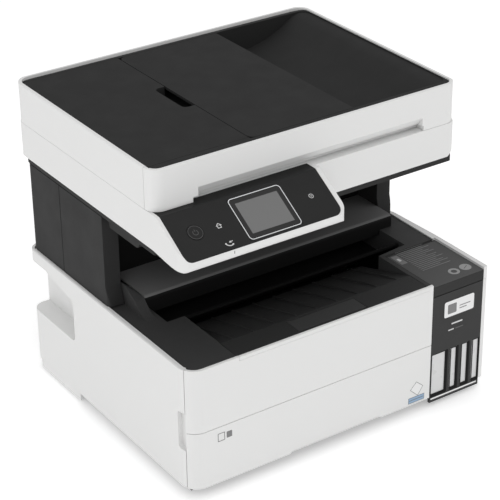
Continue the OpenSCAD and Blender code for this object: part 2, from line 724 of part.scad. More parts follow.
module ink_case() {
  color("#3b3b3d") difference() {
    union() {
      // Front face, floor, back and the wall beside the cassette
      box([ink_x0, ink_x1], [yf + 0.3, yf + 3.3], [6, ink_lid_z - ink_lid_lip - 0.5]);
      box([ink_x0, ink_x1], [yf + 3, ink_back], [ink_floor, ink_floor + 2.5]);
      box([ink_x0, ink_x1], [ink_back - 2.5, ink_back], [ink_floor, tank_top + 3]);
      box([ink_x0, ink_x0 + 2], [yf + 3, ink_back], [ink_floor, ink_lid_z - 18]);
      box([ink_x1 - 1.6, ink_x1], [yf + 3, ink_back], [ink_floor, ink_lid_z - 18]);
      for (x = [[ink_x0, ink_x0 + 2], [ink_x1 - 1.6, ink_x1]])
        box(x, [yf + 3.5, lid_hinge_y - 14], [ink_lid_z - 19, ink_lid_z - 4]);
      // Lugs of the lid's hinge
      for (x = [ink_x0 + 5, ink_x1 - 8]) {
        rod_x([x, x + 3], lid_hinge_y, lid_hinge_z, lid_pin_r + 0.45);
        box([x, x + 3], [lid_hinge_y - lid_pin_r - 0.4, lid_hinge_y + lid_pin_r + 0.4],
          [tank_top + 2, lid_hinge_z]);
      }
      // Deck around the caps
      box([ink_x0, ink_x1], [yf + 3, ink_back], [tank_top + 1, tank_top + 3.5]);
    }
    rod_x([ink_x0 - 1, ink_x1 + 1], lid_hinge_y, lid_hinge_z, lid_pin_r + run_gap);
    for (w = windows) slab(corners(ink_x0 + w[0] - w[1] / 2 - 0.3, ink_x0 + w[0] + w[1] / 2 + 0.3,
      yf - 1, yf + 4, 0.2), [win_z0 - 0.3, win_z0 + window_h + 0.3]);
    for (w = windows) translate([ink_x0 + w[0], yf + 28, tank_top - 1]) cylinder(h = 8, r = 4.4, $fn = 32);
  }
}

module ink_tanks() {
  color("#c9cacc") for (w = windows) {
    x0 = ink_x0 + max(w[0] - w[1] / 2 - 1.6, 2.4);
    x1 = ink_x0 + min(w[0] + w[1] / 2 + 1.6, ink_w - 2);
    difference() {
      union() {
        box([x0, x1], [yf + 3.8, tank_y1], [tank_z0, tank_top]);
        // The part that shows in the window
        box([ink_x0 + w[0] - w[1] / 2, ink_x0 + w[0] + w[1] / 2], [tank_y0, yf + 4],
          [win_z0, win_z0 + window_h]);
        // Filling neck
        translate([ink_x0 + w[0], yf + 28, tank_top - 0.2]) cylinder(h = 6.2, r = 4, $fn = 32);
      }
      box([x0 + tank_wall, x1 - tank_wall], [yf + 3.8 + tank_wall, tank_y1 - tank_wall],
        [tank_z0 + tank_wall, tank_top - tank_wall]);
      translate([ink_x0 + w[0], yf + 28, tank_top - 5]) cylinder(h = 12, r = 2.6, $fn = 32);
    }
  }
}

module ink_caps() {
  cap_colours = ["#202022", "#2b8ec4", "#c43a7a", "#d9b81f"];
  for (i = [0 : 3]) color(cap_colours[i])
    translate([ink_x0 + windows[i][0], yf + 28, tank_top + 6.1]) difference() {
    union() {
      cylinder(h = 6, r = 4.3, $fn = 32);
      translate([-1.2, 3, 0]) cube([2.4, 12, 3]);
    }
    translate([0, 0, 4]) cylinder(h = 4, r = 2.5, $fn = 32);
  }
}

lid_pin_r = 0.9;
lid_hinge_y = ink_back - 10.5;
lid_hinge_z = ink_lid_z - 4.4;

module ink_lid() {
  y0 = yf + 0.1;
  color("#434345") union() {
    // Top plate with a rounded front edge and its front lip
    along_x(concat(arc(y0 + 1.2, ink_lid_z - 1.2, 1.2, 180, 90, 4), [[ink_back - 0.6, ink_lid_z],
      [ink_back - 0.6, ink_lid_z - 1.2], [ink_back - 1.6, ink_lid_z - 3], [y0 + 3, ink_lid_z - 3],
      [y0 + 3, ink_lid_z - ink_lid_lip], [y0, ink_lid_z - ink_lid_lip]]), [ink_x0 + 0.2, ink_x1]);
    for (x = [[ink_x0 + 2.5, ink_x0 + 4], [ink_x1 - 3.6, ink_x1 - 2.1]])
      box(x, [y0 + 4, ink_back - 16], [ink_lid_z - 6, ink_lid_z - 2.5]);
    // Hinge rod and the ears that hold it
    rod_x([ink_x0 + 2.4, ink_x1 - 2.2], lid_hinge_y, lid_hinge_z, lid_pin_r);
    for (x = [ink_x0 + 9, ink_x1 - 15]) box([x, x + 6], [lid_hinge_y - 1.2, lid_hinge_y + 1.2],
      [lid_hinge_z - 0.4, ink_lid_z - 2.5]);
  }
}

// ---- Print mechanism ----

module cheek(x) {
  difference() {
    along_x([[eject_y - 12, shelf_z + 0.4], [feed_y + 22, shelf_z + 0.4], [feed_y + 22, rail_top],
      [rail_y + 2, rail_top], [rail_y + 2, rail_z], [feed_y + 8, feed_z + 8.5], [feed_y - 7, feed_z + 8.5],
      [feed_y - 9, eject_z + 3], [car_y0 + 12, eject_z + 3], [eject_y + 14, eject_z + 7],
      [eject_y - 12, eject_z + 7]], x);
    rod_x([x[0] - 1, x[1] + 1], feed_y, feed_z, feed_r + run_gap);
    rod_x([x[0] - 1, x[1] + 1], eject_y, eject_z, eject_r + run_gap);
  }
}

module chassis() {
  color("#9a9c9f") union() {
    cheek([mech_x0, mech_x0 + 1.6]);
    cheek([mech_x1 - 1.6, mech_x1]);
    // Folded rail behind the carriage
    along_x([[rail_y, rail_z], [rail_y + 2, rail_z], [rail_y + 2, rail_top - 2],
      [rail_y + 12, rail_top - 2], [rail_y + 12, rail_top], [rail_y, rail_top]],
        [idler_x - 16, motor_x + 16]);
    // Ledge that the carriage rides on
    box([idler_x - 16, motor_x + 16], [rail_y - 8, rail_y + 0.5], [rail_z, rail_z + 2]);
    box([mech_x0, mech_x1], [feed_y + 20, feed_y + 22], [shelf_z + 4, 112]);
  }
}

module platen() {
  color("#1a1a1b") union() {
    box([mech_x0 + 2, mech_x1 - 2], [eject_y + 8, feed_y - 8], [eject_z - 8, eject_z - 4]);
    for (i = [-10 : 10]) box([paper_x + i * 10 - 0.6, paper_x + i * 10 + 0.6], [eject_y + 9, feed_y - 9],
      [eject_z - 4.2, eject_z + 1]);
    for (x = [mech_x0 + 2, mech_x1 - 6])
      box([x, x + 4], [eject_y + 8, feed_y - 8], [shelf_z + 0.4, eject_z - 7.8]);
  }
}

module feed_roller() {
  color("#8b8e92") difference() {
    union() {
      rod_x([mech_x0 - 6, mech_x1 + 4], feed_y, feed_z, feed_r);
      // Drive pulley with its flange
      rod_x([mech_x0 - 14, mech_x0 - 5], feed_y, feed_z, 13);
      rod_x([mech_x0 - 15, mech_x0 - 13.5], feed_y, feed_z, 15);
    }
    for (a = [0 : 90 : 270])
      translate([mech_x0 - 16, feed_y, feed_z]) rotate([a, 0, 0]) translate([0, 9.5, 0])
      rotate([0, 90, 0]) cylinder(h = 12, r = 1.8, $fn = 20);
  }
}

module eject_roller() {
  color("#77797c") union() {
    rod_x([mech_x0 - 6, mech_x1 + 4], eject_y, eject_z, eject_r);
    rod_x([mech_x0 - 14, mech_x0 - 5], eject_y, eject_z, 8);
    for (i = [-4 : 4]) rod_x([paper_x + i * 24 - 5, paper_x + i * 24 + 5], eject_y, eject_z, eject_r + 2.4);
  }
}

module star_wheels() {
  color("#b4b6b8") union() {
    for (i = [-4 : 4]) translate([paper_x + i * 24, eject_y, eject_z + 11.5]) rotate([0, 90, 0])
      for (a = [0, 22.5]) rotate([0, 0, a]) cylinder(h = 1, r = 5.8, center = true, $fn = 8);
    rod_x([mech_x0 + 2, mech_x1 - 2], eject_y, eject_z + 11.5, 1);
    box([mech_x0 + 2, mech_x1 - 2], [eject_y - 5, eject_y + 4], [eject_z + 18.5, eject_z + 20.5]);
    for (i = [-4.5 : 4.5]) box([paper_x + i * 24 - 1, paper_x + i * 24 + 1], [eject_y - 3, eject_y + 3],
      [eject_z + 10, eject_z + 19]);
  }
}

pick_y = tray_y1 - 22;
pick_z = cas_z0 + 50;

module pickup_roller() {
  color("#4a4a4c") union() {
    rod_x([paper_x - 29, paper_x + 29], pick_y, pick_z, 3);
    for (x = [-16, 6]) rod_x([paper_x + x, paper_x + x + 10], pick_y, pick_z, 11);
  }
}

module motors() {
  my = feed_y - 56;
  mz = feed_z - 14;
  color("#55585c") union() {
    // Bracket with bearings for the pickup shaft, hung from the chassis
    difference() {
      for (x = [paper_x - 28, paper_x + 24]) along_x([[pick_y - 6, pick_z - 6], [pick_y + 6, pick_z - 6],
        [pick_y + 6, cas_z1 + 14], [pick_y - 12, cas_z1 + 22], [feed_y + 22.3, cas_z1 + 22],
        [feed_y + 22.3, cas_z1 + 16], [pick_y - 6, cas_z1 + 4]], [x, x + 4]);
      rod_x([paper_x - 40, paper_x + 40], pick_y, pick_z, 3 + run_gap);
    }
    // Motor on the left cheek
    rod_x([mech_x0 - 38, mech_x0 - 17], my, mz, 15);
    rod_x([mech_x0 - 17.2, mech_x0 - 5], my, mz, 3.2);
    box([mech_x0 - 17.4, mech_x0 - 16], [my - 18, my + 18], [mz - 18, mz + 18]);
    box([mech_x0 - 17, mech_x0 - 0.1], [my + 16, my + 18], [mz - 18, mz + 14]);
    // Carriage motor behind the rail, and the pins that both belt pulleys run on
    rod_y(motor_x, [rail_y + 2.1, rail_y + 34], belt_z, 13);
    for (x = [motor_x, idler_x]) rod_y(x, [belt_y - 7, rail_y - 0.1], belt_z, 1.5);
  }
}

car_y0 = tw_front + recess_d + 6;
car_z0 = eject_z + 4;

module print_carriage() {
  x0 = carriage_home - carriage_w / 2;
  x1 = carriage_home + carriage_w / 2;
  color("#29292b") union() {
    difference() {
      union() {
        box([x0, x1], [car_y0, rail_y - 10.5], [car_z0 + 8, car_z0 + 62]);
        // Print head nozzle block
        box([x0 + 12, x1 - 12], [car_y0 + 14, feed_y - feed_r - 4], [car_z0, car_z0 + 9]);
        // Shoe that rides on the rail's ledge
        box([x0 + 6, x1 - 6], [rail_y - 11, rail_y - 0.4], [rail_z + 2.4, rail_z + 12]);
        // Clip on the belt's lower run
        box([x0 + 16, x1 - 16], [rail_y - 11, rail_y - 4],
          [belt_z - 16, belt_z - pulley_r - 0.3 - belt_t - 0.4]);
      }
      box([x0 + 2.5, x1 - 2.5], [car_y0 + 2.5, rail_y - 13], [car_z0 + 12, car_z0 + 63]);
    }
    // Ink dampers in the carriage
    for (i = [0 : 3]) box([x0 + 5 + i * 12, x0 + 14 + i * 12], [car_y0 + 6, rail_y - 14],
      [car_z0 + 11.8, car_z0 + 40]);
  }
}

// Stadium round both belt pulleys, seen from the front
function belt_loop(r) = concat(arc(motor_x, belt_z, r, -90, 90, 16), arc(idler_x, belt_z, r, 90, 270, 16));

module carriage_belt() {
  color("#1c1c1d") difference() {
    along_y(belt_loop(pulley_r + 0.3 + belt_t), [belt_y - 6, belt_y - 1.3]);
    along_y(belt_loop(pulley_r + 0.3), [belt_y - 7, belt_y]);
  }
}

module belt_pulley(x) {
  color("#cfd0d2") difference() {
    union() {
      rod_y(x, [belt_y - 6.6, belt_y - 0.8], belt_z, pulley_r);
      rod_y(x, [belt_y - 0.9, belt_y - 0.2], belt_z, pulley_r + 1.6);
    }
    rod_y(x, [belt_y - 8, belt_y + 1], belt_z, 1.5 + run_gap);
    for (a = [0 : 120 : 240]) translate([x, belt_y - 8, belt_z]) rotate([0, a, 0]) translate([3.8, 0, 0])
      rotate([-90, 0, 0]) cylinder(h = 9, r = 0.9, $fn = 16);
  }
}

module drive_pulley() {
  belt_pulley(motor_x);
}

module idler_pulley() {
  belt_pulley(idler_x);
}

module capping_station() {
  x0 = carriage_home - 22;
  x1 = carriage_home + 24;
  color("#303032") union() {
    box([mech_x1 + 6, x1 + 4], [car_y0 + 8, rail_y - 8], [shelf_z + 8, car_z0 - 12]);
    difference() {
      box([mech_x1 + 8, x1 - 4], [car_y0 + 14, rail_y - 14], [car_z0 - 12.2, car_z0 - 1]);
      box([mech_x1 + 10, x1 - 6], [car_y0 + 16, rail_y - 16], [car_z0 - 6, car_z0]);
    }
    for (y = [car_y0 + 10, rail_y - 14]) box([mech_x1 + 8, x1], [y, y + 4], [foot_h + 4.2, shelf_z + 8.2]);
  }
}

module power_supply() {
  x = [xl + 9, inlet_x + 12];
  color("#6b6f73") union() {
    difference() {
      box(x, [base_back - 180, base_back - 22], [cas_z0, cas_z1 - 12]);
      for (i = [0 : 7]) box([x[0] - 1, x[0] + 1], [base_back - 170 + i * 16, base_back - 162 + i * 16],
        [24, 60]);
    }
    // Mains inlet
    difference() {
      box([inlet_x - 12, inlet_x + 12], [base_back - 22.2, base_back - 0.2], [26.5, 45.5]);
      box([inlet_x - 9, inlet_x + 9], [base_back - 12, base_back + 1], [30, 42]);
    }
    for (s = [-1, 1]) rod_y(inlet_x + s * 4, [base_back - 13, base_back - 3], 36, 1.2);
  }
}

module main_board() {
  x = xr - 14;
  color("#2c6b45") union() {
    box([x, x + 1.6], [ink_back + 18, grip_y0 - 5], [24, 124]);
    box([x - 9, x + 0.1], [grip_y0 - 60, grip_y0 - 30], [60, 90]);
    for (i = [0 : 4]) box([x - 7, x + 0.1], [ink_back + 30 + i * 12, ink_back + 36 + i * 12], [36, 56]);
    for (y = [10, 30, 50]) rod_x([x - 9, x + 0.1], grip_y0 - y, 108, 4);
    for (y = [ink_back + 26, grip_y0 - 20]) box([x + 1.5, x + 5], [y, y + 8], [cas_z0, 40]);
  }
  ports();
}

module ports() {
  y = [base_back - 20, base_back - 0.3];
  color("#c2c4c6") difference() {
    box([port_x - 8, port_x + 8], y, [61, 111]);
    box([port_x - 6, port_x + 6], [y[0] + 6, y[1] + 1], [64, 75]);
    box([port_x - 6, port_x + 6], [y[0] + 6, y[1] + 1], [80, 91]);
    box([port_x - 5.5, port_x + 5.5], [y[0] + 6, y[1] + 1], [96, 108]);
  }
}

module maintenance_box() {
  x = [port_x - 18, port_x + 18];
  color("#4b4b4d") difference() {
    union() {
      box(x, [base_back - 60, base_back - 0.1], [16, 52]);
      box([port_x - 18.6, port_x + 18.6], [base_back - 2, base_back - 0.1], [15.4, 52.6]);
    }
    box([x[0] + 2, x[1] - 2], [base_back - 58, base_back - 6], [18, 53]);
    // Finger hollow
    box([port_x - 10, port_x + 10], [base_back - 5, base_back + 1], [40, 47]);
  }
}

module rear_cover() {
  y1 = yb;
  color("#3c3c3e") difference() {
    union() {
      rbox_y([cover_x[0], cover_x[1]], [base_back - 2, y1], cover_z, 6);
      // Inner guide that turns the sheets up towards the feed roller
      for (i = [-rib_n : rib_n]) along_x(concat([[base_back - 2.2, cover_z[0] + 6]],
        [for (a = [-60 : 15 : 60]) [feed_y + 27 + (a < 0 ? -a : a) * 0.16 + 1, feed_z - 26 + a * 0.48]],
        [[base_back - 2.2, cover_z[1] - 6]]), [paper_x + i * rib_pitch - 1, paper_x + i * rib_pitch + 1]);
    }
    rbox_y([cover_x[0] + 3, cover_x[1] - 3], [base_back - 3, y1 - 3], [cover_z[0] + 3, cover_z[1] - 3], 4);
    // Grip hollows at both ends
    for (s = [0, 1]) box([cover_x[s] - 8 + s * 4, cover_x[s] + 4 + s * 4], [y1 - 10, y1 - 4],
      [cover_z[0] + 26, cover_z[1] - 26]);
  }
  color("#3c3c3e") for (i = [0.5 - rib_n : rib_n - 0.5]) box([paper_x + i * rib_pitch - 1, paper_x + i * rib_pitch + 1],
    [base_back - 2, y1 - 2.8], [cover_z[0] + 8, cover_z[1] - 8]);
}

module rbox_y(x, y, z, r) {
  along_y(corners(x[0], x[1], z[0], z[1], r), y);
}

module frame_screws() {
  color("#3f4144") for (x = [-1, 1], z = [56, 146])
    translate([x * 130, base_back, z]) rotate([-90, 0, 0]) difference() {
    cylinder(h = 2, r = 3.2, $fn = 32);
    translate([0, 0, 1]) rotate([0, 0, 45]) cylinder(h = 3, r = 1.6, $fn = 4);
  }
}

// ---- Scanner unit ----

// Profile of the case in Y and Z through the control panel
function wedge_profile() = concat(
  [[sc_front + 2, sc_z0 - 0], [sc_front - 20, sc_z0 - 2.6], [yf + 24, sc_z0 - 3.6]],
  arc(yf + 9, sc_z0 + 4.5, 8, 262, 200, 5),
  [[yf, sc_z0 + 5], [yf, pn_z_low]],
  [[pn_top_y, pn_z_low + pn_drop], [pn_top_y + 5, sc_top], [sc_front + 2, sc_top]]);

module scanner_case() {
  color("#e2e2e2") difference() {
    union() {
      // Case walls with rounded corners
      difference() {
        slab(corners4(-sc_x, sc_x, sc_front, sc_back, [0, 10, 16, 16]), [sc_z0, sc_top]);
        slab(corners4(-sc_x + wall, sc_x - wall, sc_front + wall, sc_back - wall, [0, 8, 13, 13]),
          [sc_z0 - 1, sc_top - 2.5]);
      }
      // Wedge that carries the control panel
      intersection() {
        along_x(wedge_profile(), [-sc_x, pn_x1]);
        slab(corners4(-sc_x, pn_x1, yf, sc_front + 3, [17, 12, 0, 0]), [sc_z0 - 10, sc_top + 1]);
      }
      // Frame under the glass
      box([strip_glass_x0 - 4, glass_x1 + 6], [glass_y0 - 6, glass_y1 + 6],
        [sc_top - glass_t - 2.4, sc_top - 2]);
    }
    // Openings for the two glasses
    box([glass_x0 - 0.2, glass_x1 + 0.2], [glass_y0 - 0.2, glass_y1 + 0.2],
      [sc_top - glass_t - 0.2, sc_top + 1]);
    box([glass_x0 + 3, glass_x1 - 3], [glass_y0 + 3, glass_y1 - 3], [sc_z0 + 2, sc_top + 1]);
    box([strip_glass_x0 - 0.2, strip_glass_x1 + 0.2], [glass_y0 - 0.2, glass_y1 + 0.2],
      [sc_top - glass_t - 0.2, sc_top + 1]);
    box([strip_glass_x0 + 2, strip_glass_x1 - 2], [glass_y0 + 3, glass_y1 - 3], [sc_z0 + 2, sc_top + 1]);
    // Seat of the control panel, and the hollow behind it
    panel_body(3.2, 2, 0.3);
    panel_hollow();
    // Lower right corner of the front, cut back
    along_y([[sc_x - 12, sc_z0 - 1], [sc_x + 1, sc_z0 - 1], [sc_x + 1, sc_z0 + 9]],
      [sc_front - 1, sc_front + 20]);
    // Slots for the document cover's hinges
    for (s = [-1, 1]) box([s * 120 - 16, s * 120 + 16], [sc_back - 2.2, sc_back + 1],
      [sc_top - 16, sc_top + 1]);
  }
}

// Frame of the panel: origin at the front bezel's top edge, X along the panel, Y up the slope, Z out of it
module on_panel() {
  translate([-sc_x, yf, pn_z_low]) rotate([panel_tilt, 0, 0]) children();
}

pb_side = 3.6;
pb_low = 1;
pb_r = 10;

// Height of the slope at a place along Y
function panel_z(y) = pn_z_low + (y - yf) * tan(panel_tilt);

// Profile of the panel in Y and Z: up the slope, then level to the back, between depths t and u
function panel_profile(t, u, y1) = concat(
  [[yf - 5, panel_z(yf - 5) - t / cos(panel_tilt)], [yf - 5, panel_z(yf - 5) + u / cos(panel_tilt)],
   [yf + (sc_top - 0.1 + u - pn_z_low - u / cos(panel_tilt)) / tan(panel_tilt), sc_top - 0.1 + u],
   [y1, sc_top - 0.1 + u], [y1, sc_top - t],
   [yf + (sc_top - t - pn_z_low + t / cos(panel_tilt)) / tan(panel_tilt), sc_top - t]]);

// The dark panel as a solid, grown by g in its own plane
module panel_body(t, u, g) {
  intersection() {
    along_x(panel_profile(t, u, sc_front + 8 + g), [-sc_x - 2, pn_x1 + 2]);
    on_panel() slab(corners4(pb_side - g, panel_w - 5.4 + g, pb_low - g, pn_len + 30,
      [pb_r, pb_r, 0, 0]), [-30, 20]);
  }
}

module panel_hollow() {
  on_panel() translate([pb_side + 6, 6, -14]) cube([panel_w - 20, pn_len - 14, 12]);
}

// Places on the panel, measured along X from its left end and up the slope
function up_slope(y) = (y - yf) / cos(panel_tilt);
button_at = [28.4, up_slope(yf + 25.9)];
lcd_at = [106.9, up_slope(yf + 24.4)];

module control_panel() {
  t = 3;
  color("#343437") difference() {
    panel_body(t, 0, 0);
    on_panel() {
      translate([button_at[0], button_at[1], -t - 1])
        cylinder(h = t + 2, d = button_d + 2 * button_gap, $fn = 64);
      // Window seat of the display
      translate([lcd_at[0] - lcd_w / 2 - 6, lcd_at[1] - lcd_h / 2 - 6, -1.2])
        cube([lcd_w + 12, lcd_h + 12, 3]);
      translate([lcd_at[0] - lcd_w / 2, lcd_at[1] - lcd_h / 2, -t - 1]) cube([lcd_w, lcd_h, t + 2]);
    }
  }
}

module screen() {
  color("#6f7173") on_panel() union() {
    translate([lcd_at[0], lcd_at[1], -1.2])
      slab(corners(-lcd_w / 2 - 5.8, lcd_w / 2 + 5.8, -lcd_h / 2 - 5.8,
      lcd_h / 2 + 5.8, 4), [0, 1.4]);
    translate([lcd_at[0] - lcd_w / 2 + 0.3, lcd_at[1] - lcd_h / 2 + 0.3, -4.6])
      cube([lcd_w - 0.6, lcd_h - 0.6, 3.6]);
  }
}

module power_button() {
  color("#3a3a3d") on_panel() translate([button_at[0], button_at[1], 0]) union() {
    translate([0, 0, -4.4]) cylinder(h = 4.6, d = button_d, $fn = 64);
    translate([0, 0, -5.6]) cylinder(h = 1.4, d = button_d + 3, $fn = 64);
  }
}

module scanner_base() {
  color("#2a2a2c") difference() {
    union() {
      slab(corners4(-tw_x + 0.4, tw_x - 0.4, sc_front + 3, tw_back + 2, [3, 3, 12, 12]),
        [sb_z, sc_z0 - 0.3]);
      // Inner box that closes the case from below
      difference() {
        box([-sc_x + wall + 0.5, sc_x - wall - 0.5], [sc_front + wall + 8, sc_back - wall - 14],
          [sb_z + 0.5, sc_z0 + 10]);
        box([-sc_x + wall + 3, sc_x - wall - 3], [sc_front + wall + 11, sc_back - wall - 17],
          [sc_z0 + 2, sc_z0 + 11]);
      }
      // Arm housing under the left edge
      along_x(concat([[-18, sb_z + 0.5], [-21.6, 245.5 - 255 + tw_top]],
        arc(-72, 253 - 255 + tw_top, 7.4, 270, 190, 5), [[-86, sb_z + 0.5]]), [-tw_x + 4, -tw_x + 22]);
      // Hinge ears at the back
      for (s = [-1, 1]) along_x(concat([[tw_back - 2, sc_z0 - 2]], arc(hinge_y, hinge_z, 4.6, 200, 340, 8),
        [[hinge_y + 4.4, sc_z0 - 0.4], [tw_back - 2, sc_z0 - 0.4]]), [s * hinge_x - 6, s * hinge_x + 6]);
    }
    for (s = [-1, 1]) rod_x([s * hinge_x - 8, s * hinge_x + 8], hinge_y, hinge_z, pin_r + run_gap);
    box([-hinge_x - 18, -hinge_x - 6.4], [tw_back - 0.4, yb], [sb_z - 1, sc_z0 + 1]);
    box([hinge_x + 6.4, hinge_x + 18], [tw_back - 0.4, yb], [sb_z - 1, sc_z0 + 1]);
    box([-hinge_x + 6.4, hinge_x - 6.4], [tw_back - 0.4, yb], [sb_z - 1, sc_z0 + 1]);
  }
}

module scanner_hinges() {
  color("#8f9194") for (s = [-1, 1]) union() {
    rod_x([s * hinge_x - 11, s * hinge_x + 11], hinge_y, hinge_z, pin_r);
    for (e = [-1, 1]) along_x([[tw_back + 0.1, tw_top - 26], [tw_back + 3, tw_top - 26],
      [hinge_y + 3, hinge_z - 6], [hinge_y + 3, hinge_z + 3], [hinge_y - 3, hinge_z + 3],
      [tw_back + 0.1, hinge_z - 6]], [s * hinge_x + e * 9.2 - 2, s * hinge_x + e * 9.2 + 2]);
    box([s * hinge_x - 11, s * hinge_x + 11], [tw_back + 0.1, tw_back + 2.6], [tw_top - 26, tw_top - 10]);
  }
}

module scanner_glass() {
  color("#aab4b8") union() {
    box([glass_x0, glass_x1], [glass_y0, glass_y1], [sc_top - glass_t, sc_top]);
    box([strip_glass_x0, strip_glass_x1], [glass_y0, glass_y1], [sc_top - glass_t, sc_top]);
  }
}

cis_w = 16;
cis_top = sc_top - glass_t - 3.2;
rod_z0 = sc_z0 + 9;

module scan_carriage() {
  x0 = strip_glass_x0;
  color("#222224") difference() {
    union() {
      box([x0, x0 + cis_w], [glass_y0 + 8, glass_y1 - 8], [cis_top - 12, cis_top]);
      box([x0, x0 + cis_w], [0, 14], [rod_z0 - 4.5, cis_top - 11.8]);
    }
    rod_x([x0 - 1, x0 + cis_w + 1], 7, rod_z0, 3 + run_gap);
  }
}

module scan_drive() {
  x0 = -sc_x + wall + 3.2;
  x1 = sc_x - wall - 3.2;
  color("#a9abae") union() {
    // Guide rod with its two posts
    rod_x([x0 + 0.5, x1 - 0.5], 7, rod_z0, 3);
    for (x = [x0, x1 - 3]) box([x, x + 3], [3, 11], [sc_z0 + 2.1, rod_z0 + 3.5]);
    // Motor of the scan carriage
    rod_z(x1 - 16, -60, [sc_z0 + 2.1, sc_z0 + 16], 12);
    // Belt alongside the rod
    translate([0, 0, rod_z0 - 2]) difference() {
      linear_extrude(3) polygon(concat(arc(x1 - 10, 26, 4, -90, 90), arc(x0 + 10, 26, 4, 90, 270)));
      translate([0, 0, -1]) linear_extrude(5)
        polygon(concat(arc(x1 - 10, 26, 3, -90, 90), arc(x0 + 10, 26, 3, 90, 270)));
    }
    for (x = [x0 + 10, x1 - 10]) rod_z(x, 26, [sc_z0 + 2.1, rod_z0 + 2], 2.8);
  }
}

// ---- Document cover ----

module cover_shell() {
  color("#e4e4e4") {
    shell_body();
    hinge_leaves();
  }
}

module shell_body() {
  difference() {
    union() {
      difference() {
        slab(corners4(-sc_x, sc_x, cv_seam + seam / 2, sc_back, [0, 0, cv_r, cv_r]), [cv_z0, cv_top]);
        slab(corners4(-sc_x + cv_rim, sc_x - cv_rim, cv_seam - 1, sc_back - cv_rim,
          [0, 0, cv_r - cv_rim, cv_r - cv_rim]), [cv_z0 + 4, cv_top + 1]);
      }
    }
    // Hollow above the pad
    box([glass_x0 - 4, glass_x1 + 4], [glass_y0 - 4, glass_y1 + 4], [cv_z0 - 1, cv_z0 + 2.2]);
    // Slot that the feeder scans through
    box([strip_glass_x0, strip_glass_x1], [glass_y0 + 2, glass_y1 - 2], [cv_z0 - 1, cv_z0 + 5]);
    // Soft edge along the top
    cover_bevel();
  }
}

module cover_bevel() {
  for (s = [-1, 1]) along_y([[s * (sc_x + 1), cv_top - 1.2], [s * (sc_x - 1.4), cv_top + 0.2],
    [s * (sc_x + 1), cv_top + 0.2]], [sc_front - 1, sc_back + 1]);
  along_x([[sc_back + 1, cv_top - 1.2], [sc_back - 1.4, cv_top + 0.2], [sc_back + 1, cv_top + 0.2]],
    [-sc_x, sc_x]);
  along_x([[sc_front - 1, cv_top - 1.2], [sc_front + 1.4, cv_top + 0.2], [sc_front - 1, cv_top + 0.2]],
    [-sc_x, sc_x]);
}

grip_x0 = xl + 47;
grip_x1 = xr - 47.5;
grip_low = cv_z0 + 5.2;

module cover_front() {
  color("#e4e4e4") difference() {
    slab(corners4(-sc_x, sc_x, sc_front, cv_seam - seam / 2, [cv_r - 3.7, cv_r - 3.7, 0, 0]),
      [cv_z0, cv_top]);
    // Room behind the rim for the feeder's frame
    slab(corners4(-sc_x + cv_rim, sc_x - cv_rim, sc_front + cv_rim, cv_seam + 1,
      [cv_r - 7.4, cv_r - 7.4, 0, 0]), [cv_top - 6, cv_top + 1]);
    box([-sc_x + cv_rim, sc_x - cv_rim], [sc_front + 9.6, cv_seam + 1], [cv_z0 + 4, cv_top + 1]);
    // Lower edge set back to the right of the corner
    box([grip_x0, grip_x1 + 2], [sc_front - 1, sc_front + 12], [cv_z0 - 1, grip_low]);
    // Sloping finger recess above it
    along_x([[sc_front - 1, grip_low - 1], [sc_front + 7.5, grip_low - 1], [sc_front + 7.5, grip_low + 0.5],
      [sc_front, grip_low + 9.5], [sc_front - 1, grip_low + 9.5]], [grip_x0 + 6, grip_x1]);
    cover_bevel();
  }
}

module cover_hinges() {
  color("#333335") for (s = [-1, 1]) {
    x = s * 120;
    // Fixed knuckles stand on the scanner; the leaf is the cover's
    union() {
      for (e = [-1, 1]) along_x(concat([[sc_back + 0.1, sc_top - 14], [sc_back + 3, sc_top - 14]],
        arc(cv_hinge_y, cv_hinge_z, 4.2, -60, 120, 6), [[sc_back + 0.1, cv_hinge_z + 0.8]]),
        [x + e * 11 - 3, x + e * 11 + 3]);
      rod_x([x - 14, x + 14], cv_hinge_y, cv_hinge_z, pin_r);
      box([x - 14, x + 14], [sc_back - 2, sc_back + 2.5], [sc_top - 15, sc_top - 6]);
    }
  }
}

module hinge_leaves() {
  for (s = [-1, 1]) difference() {
    union() {
      rod_x([s * 120 - 7.6, s * 120 + 7.6], cv_hinge_y, cv_hinge_z, 4.2);
      box([s * 120 - 7.6, s * 120 + 7.6], [sc_back - 0.5, cv_hinge_y + 3.4],
        [cv_hinge_z + 0.2, cv_z0 + 16]);
    }
    rod_x([s * 120 - 9, s * 120 + 9], cv_hinge_y, cv_hinge_z, pin_r + run_gap);
  }
}

module backing_pad() {
  color("#f2f2f2") box([glass_x0 - 3, glass_x1 + 3], [glass_y0 - 3, glass_y1 + 3],
    [cv_z0 + 0.1, cv_z0 + 2.2]);
}

bin_z = cv_z0 + 5;

// Output bin's floor and the space above it, as an outline in X and Z from its left end x0
function bin_outline(x0, t) = [[x0, bin_z + 3.4 - t], [sp_x1, bin_z + 4.6 - t],
  [sp_x1 + 25, bin_z + 6.4 - t],
  [sp_x1 + 47, bin_z + 9.6 - t], [sp_x1 + 68, bin_z + 15 - t], [sp_x1 + 86, bin_z + 23 - t],
  [sp_x1 + 103, bin_z + 34 - t], [bin_x1 - 9, bin_z + 36.4 - t], [bin_x1, bin_z + 36.6 - t],
  [bin_x1, cv_top + 3], [x0, cv_top + 3]];

hinge_pin_r = 1.2;
fh_x = fd_x0 + 18;
fh_z = ff_top - 5.5;
sh_x = sp_x1 - 2.5;
sh_z = ff_top - 5;
bin_y0 = fl_y0 - 3.4;
bin_y1 = fl_y1 - 0.6;
roll_x = fd_x1 - 30;
roll_z = cv_z0 + 20;
roll_r = 11;
input_y = [bin_y0 + 0.1, bin_y1 - 0.1];

// Height of the input tray's top surface at a place along X
function input_z(x) = cv_z0 + 23 + (x - fd_x1) * 0.06;

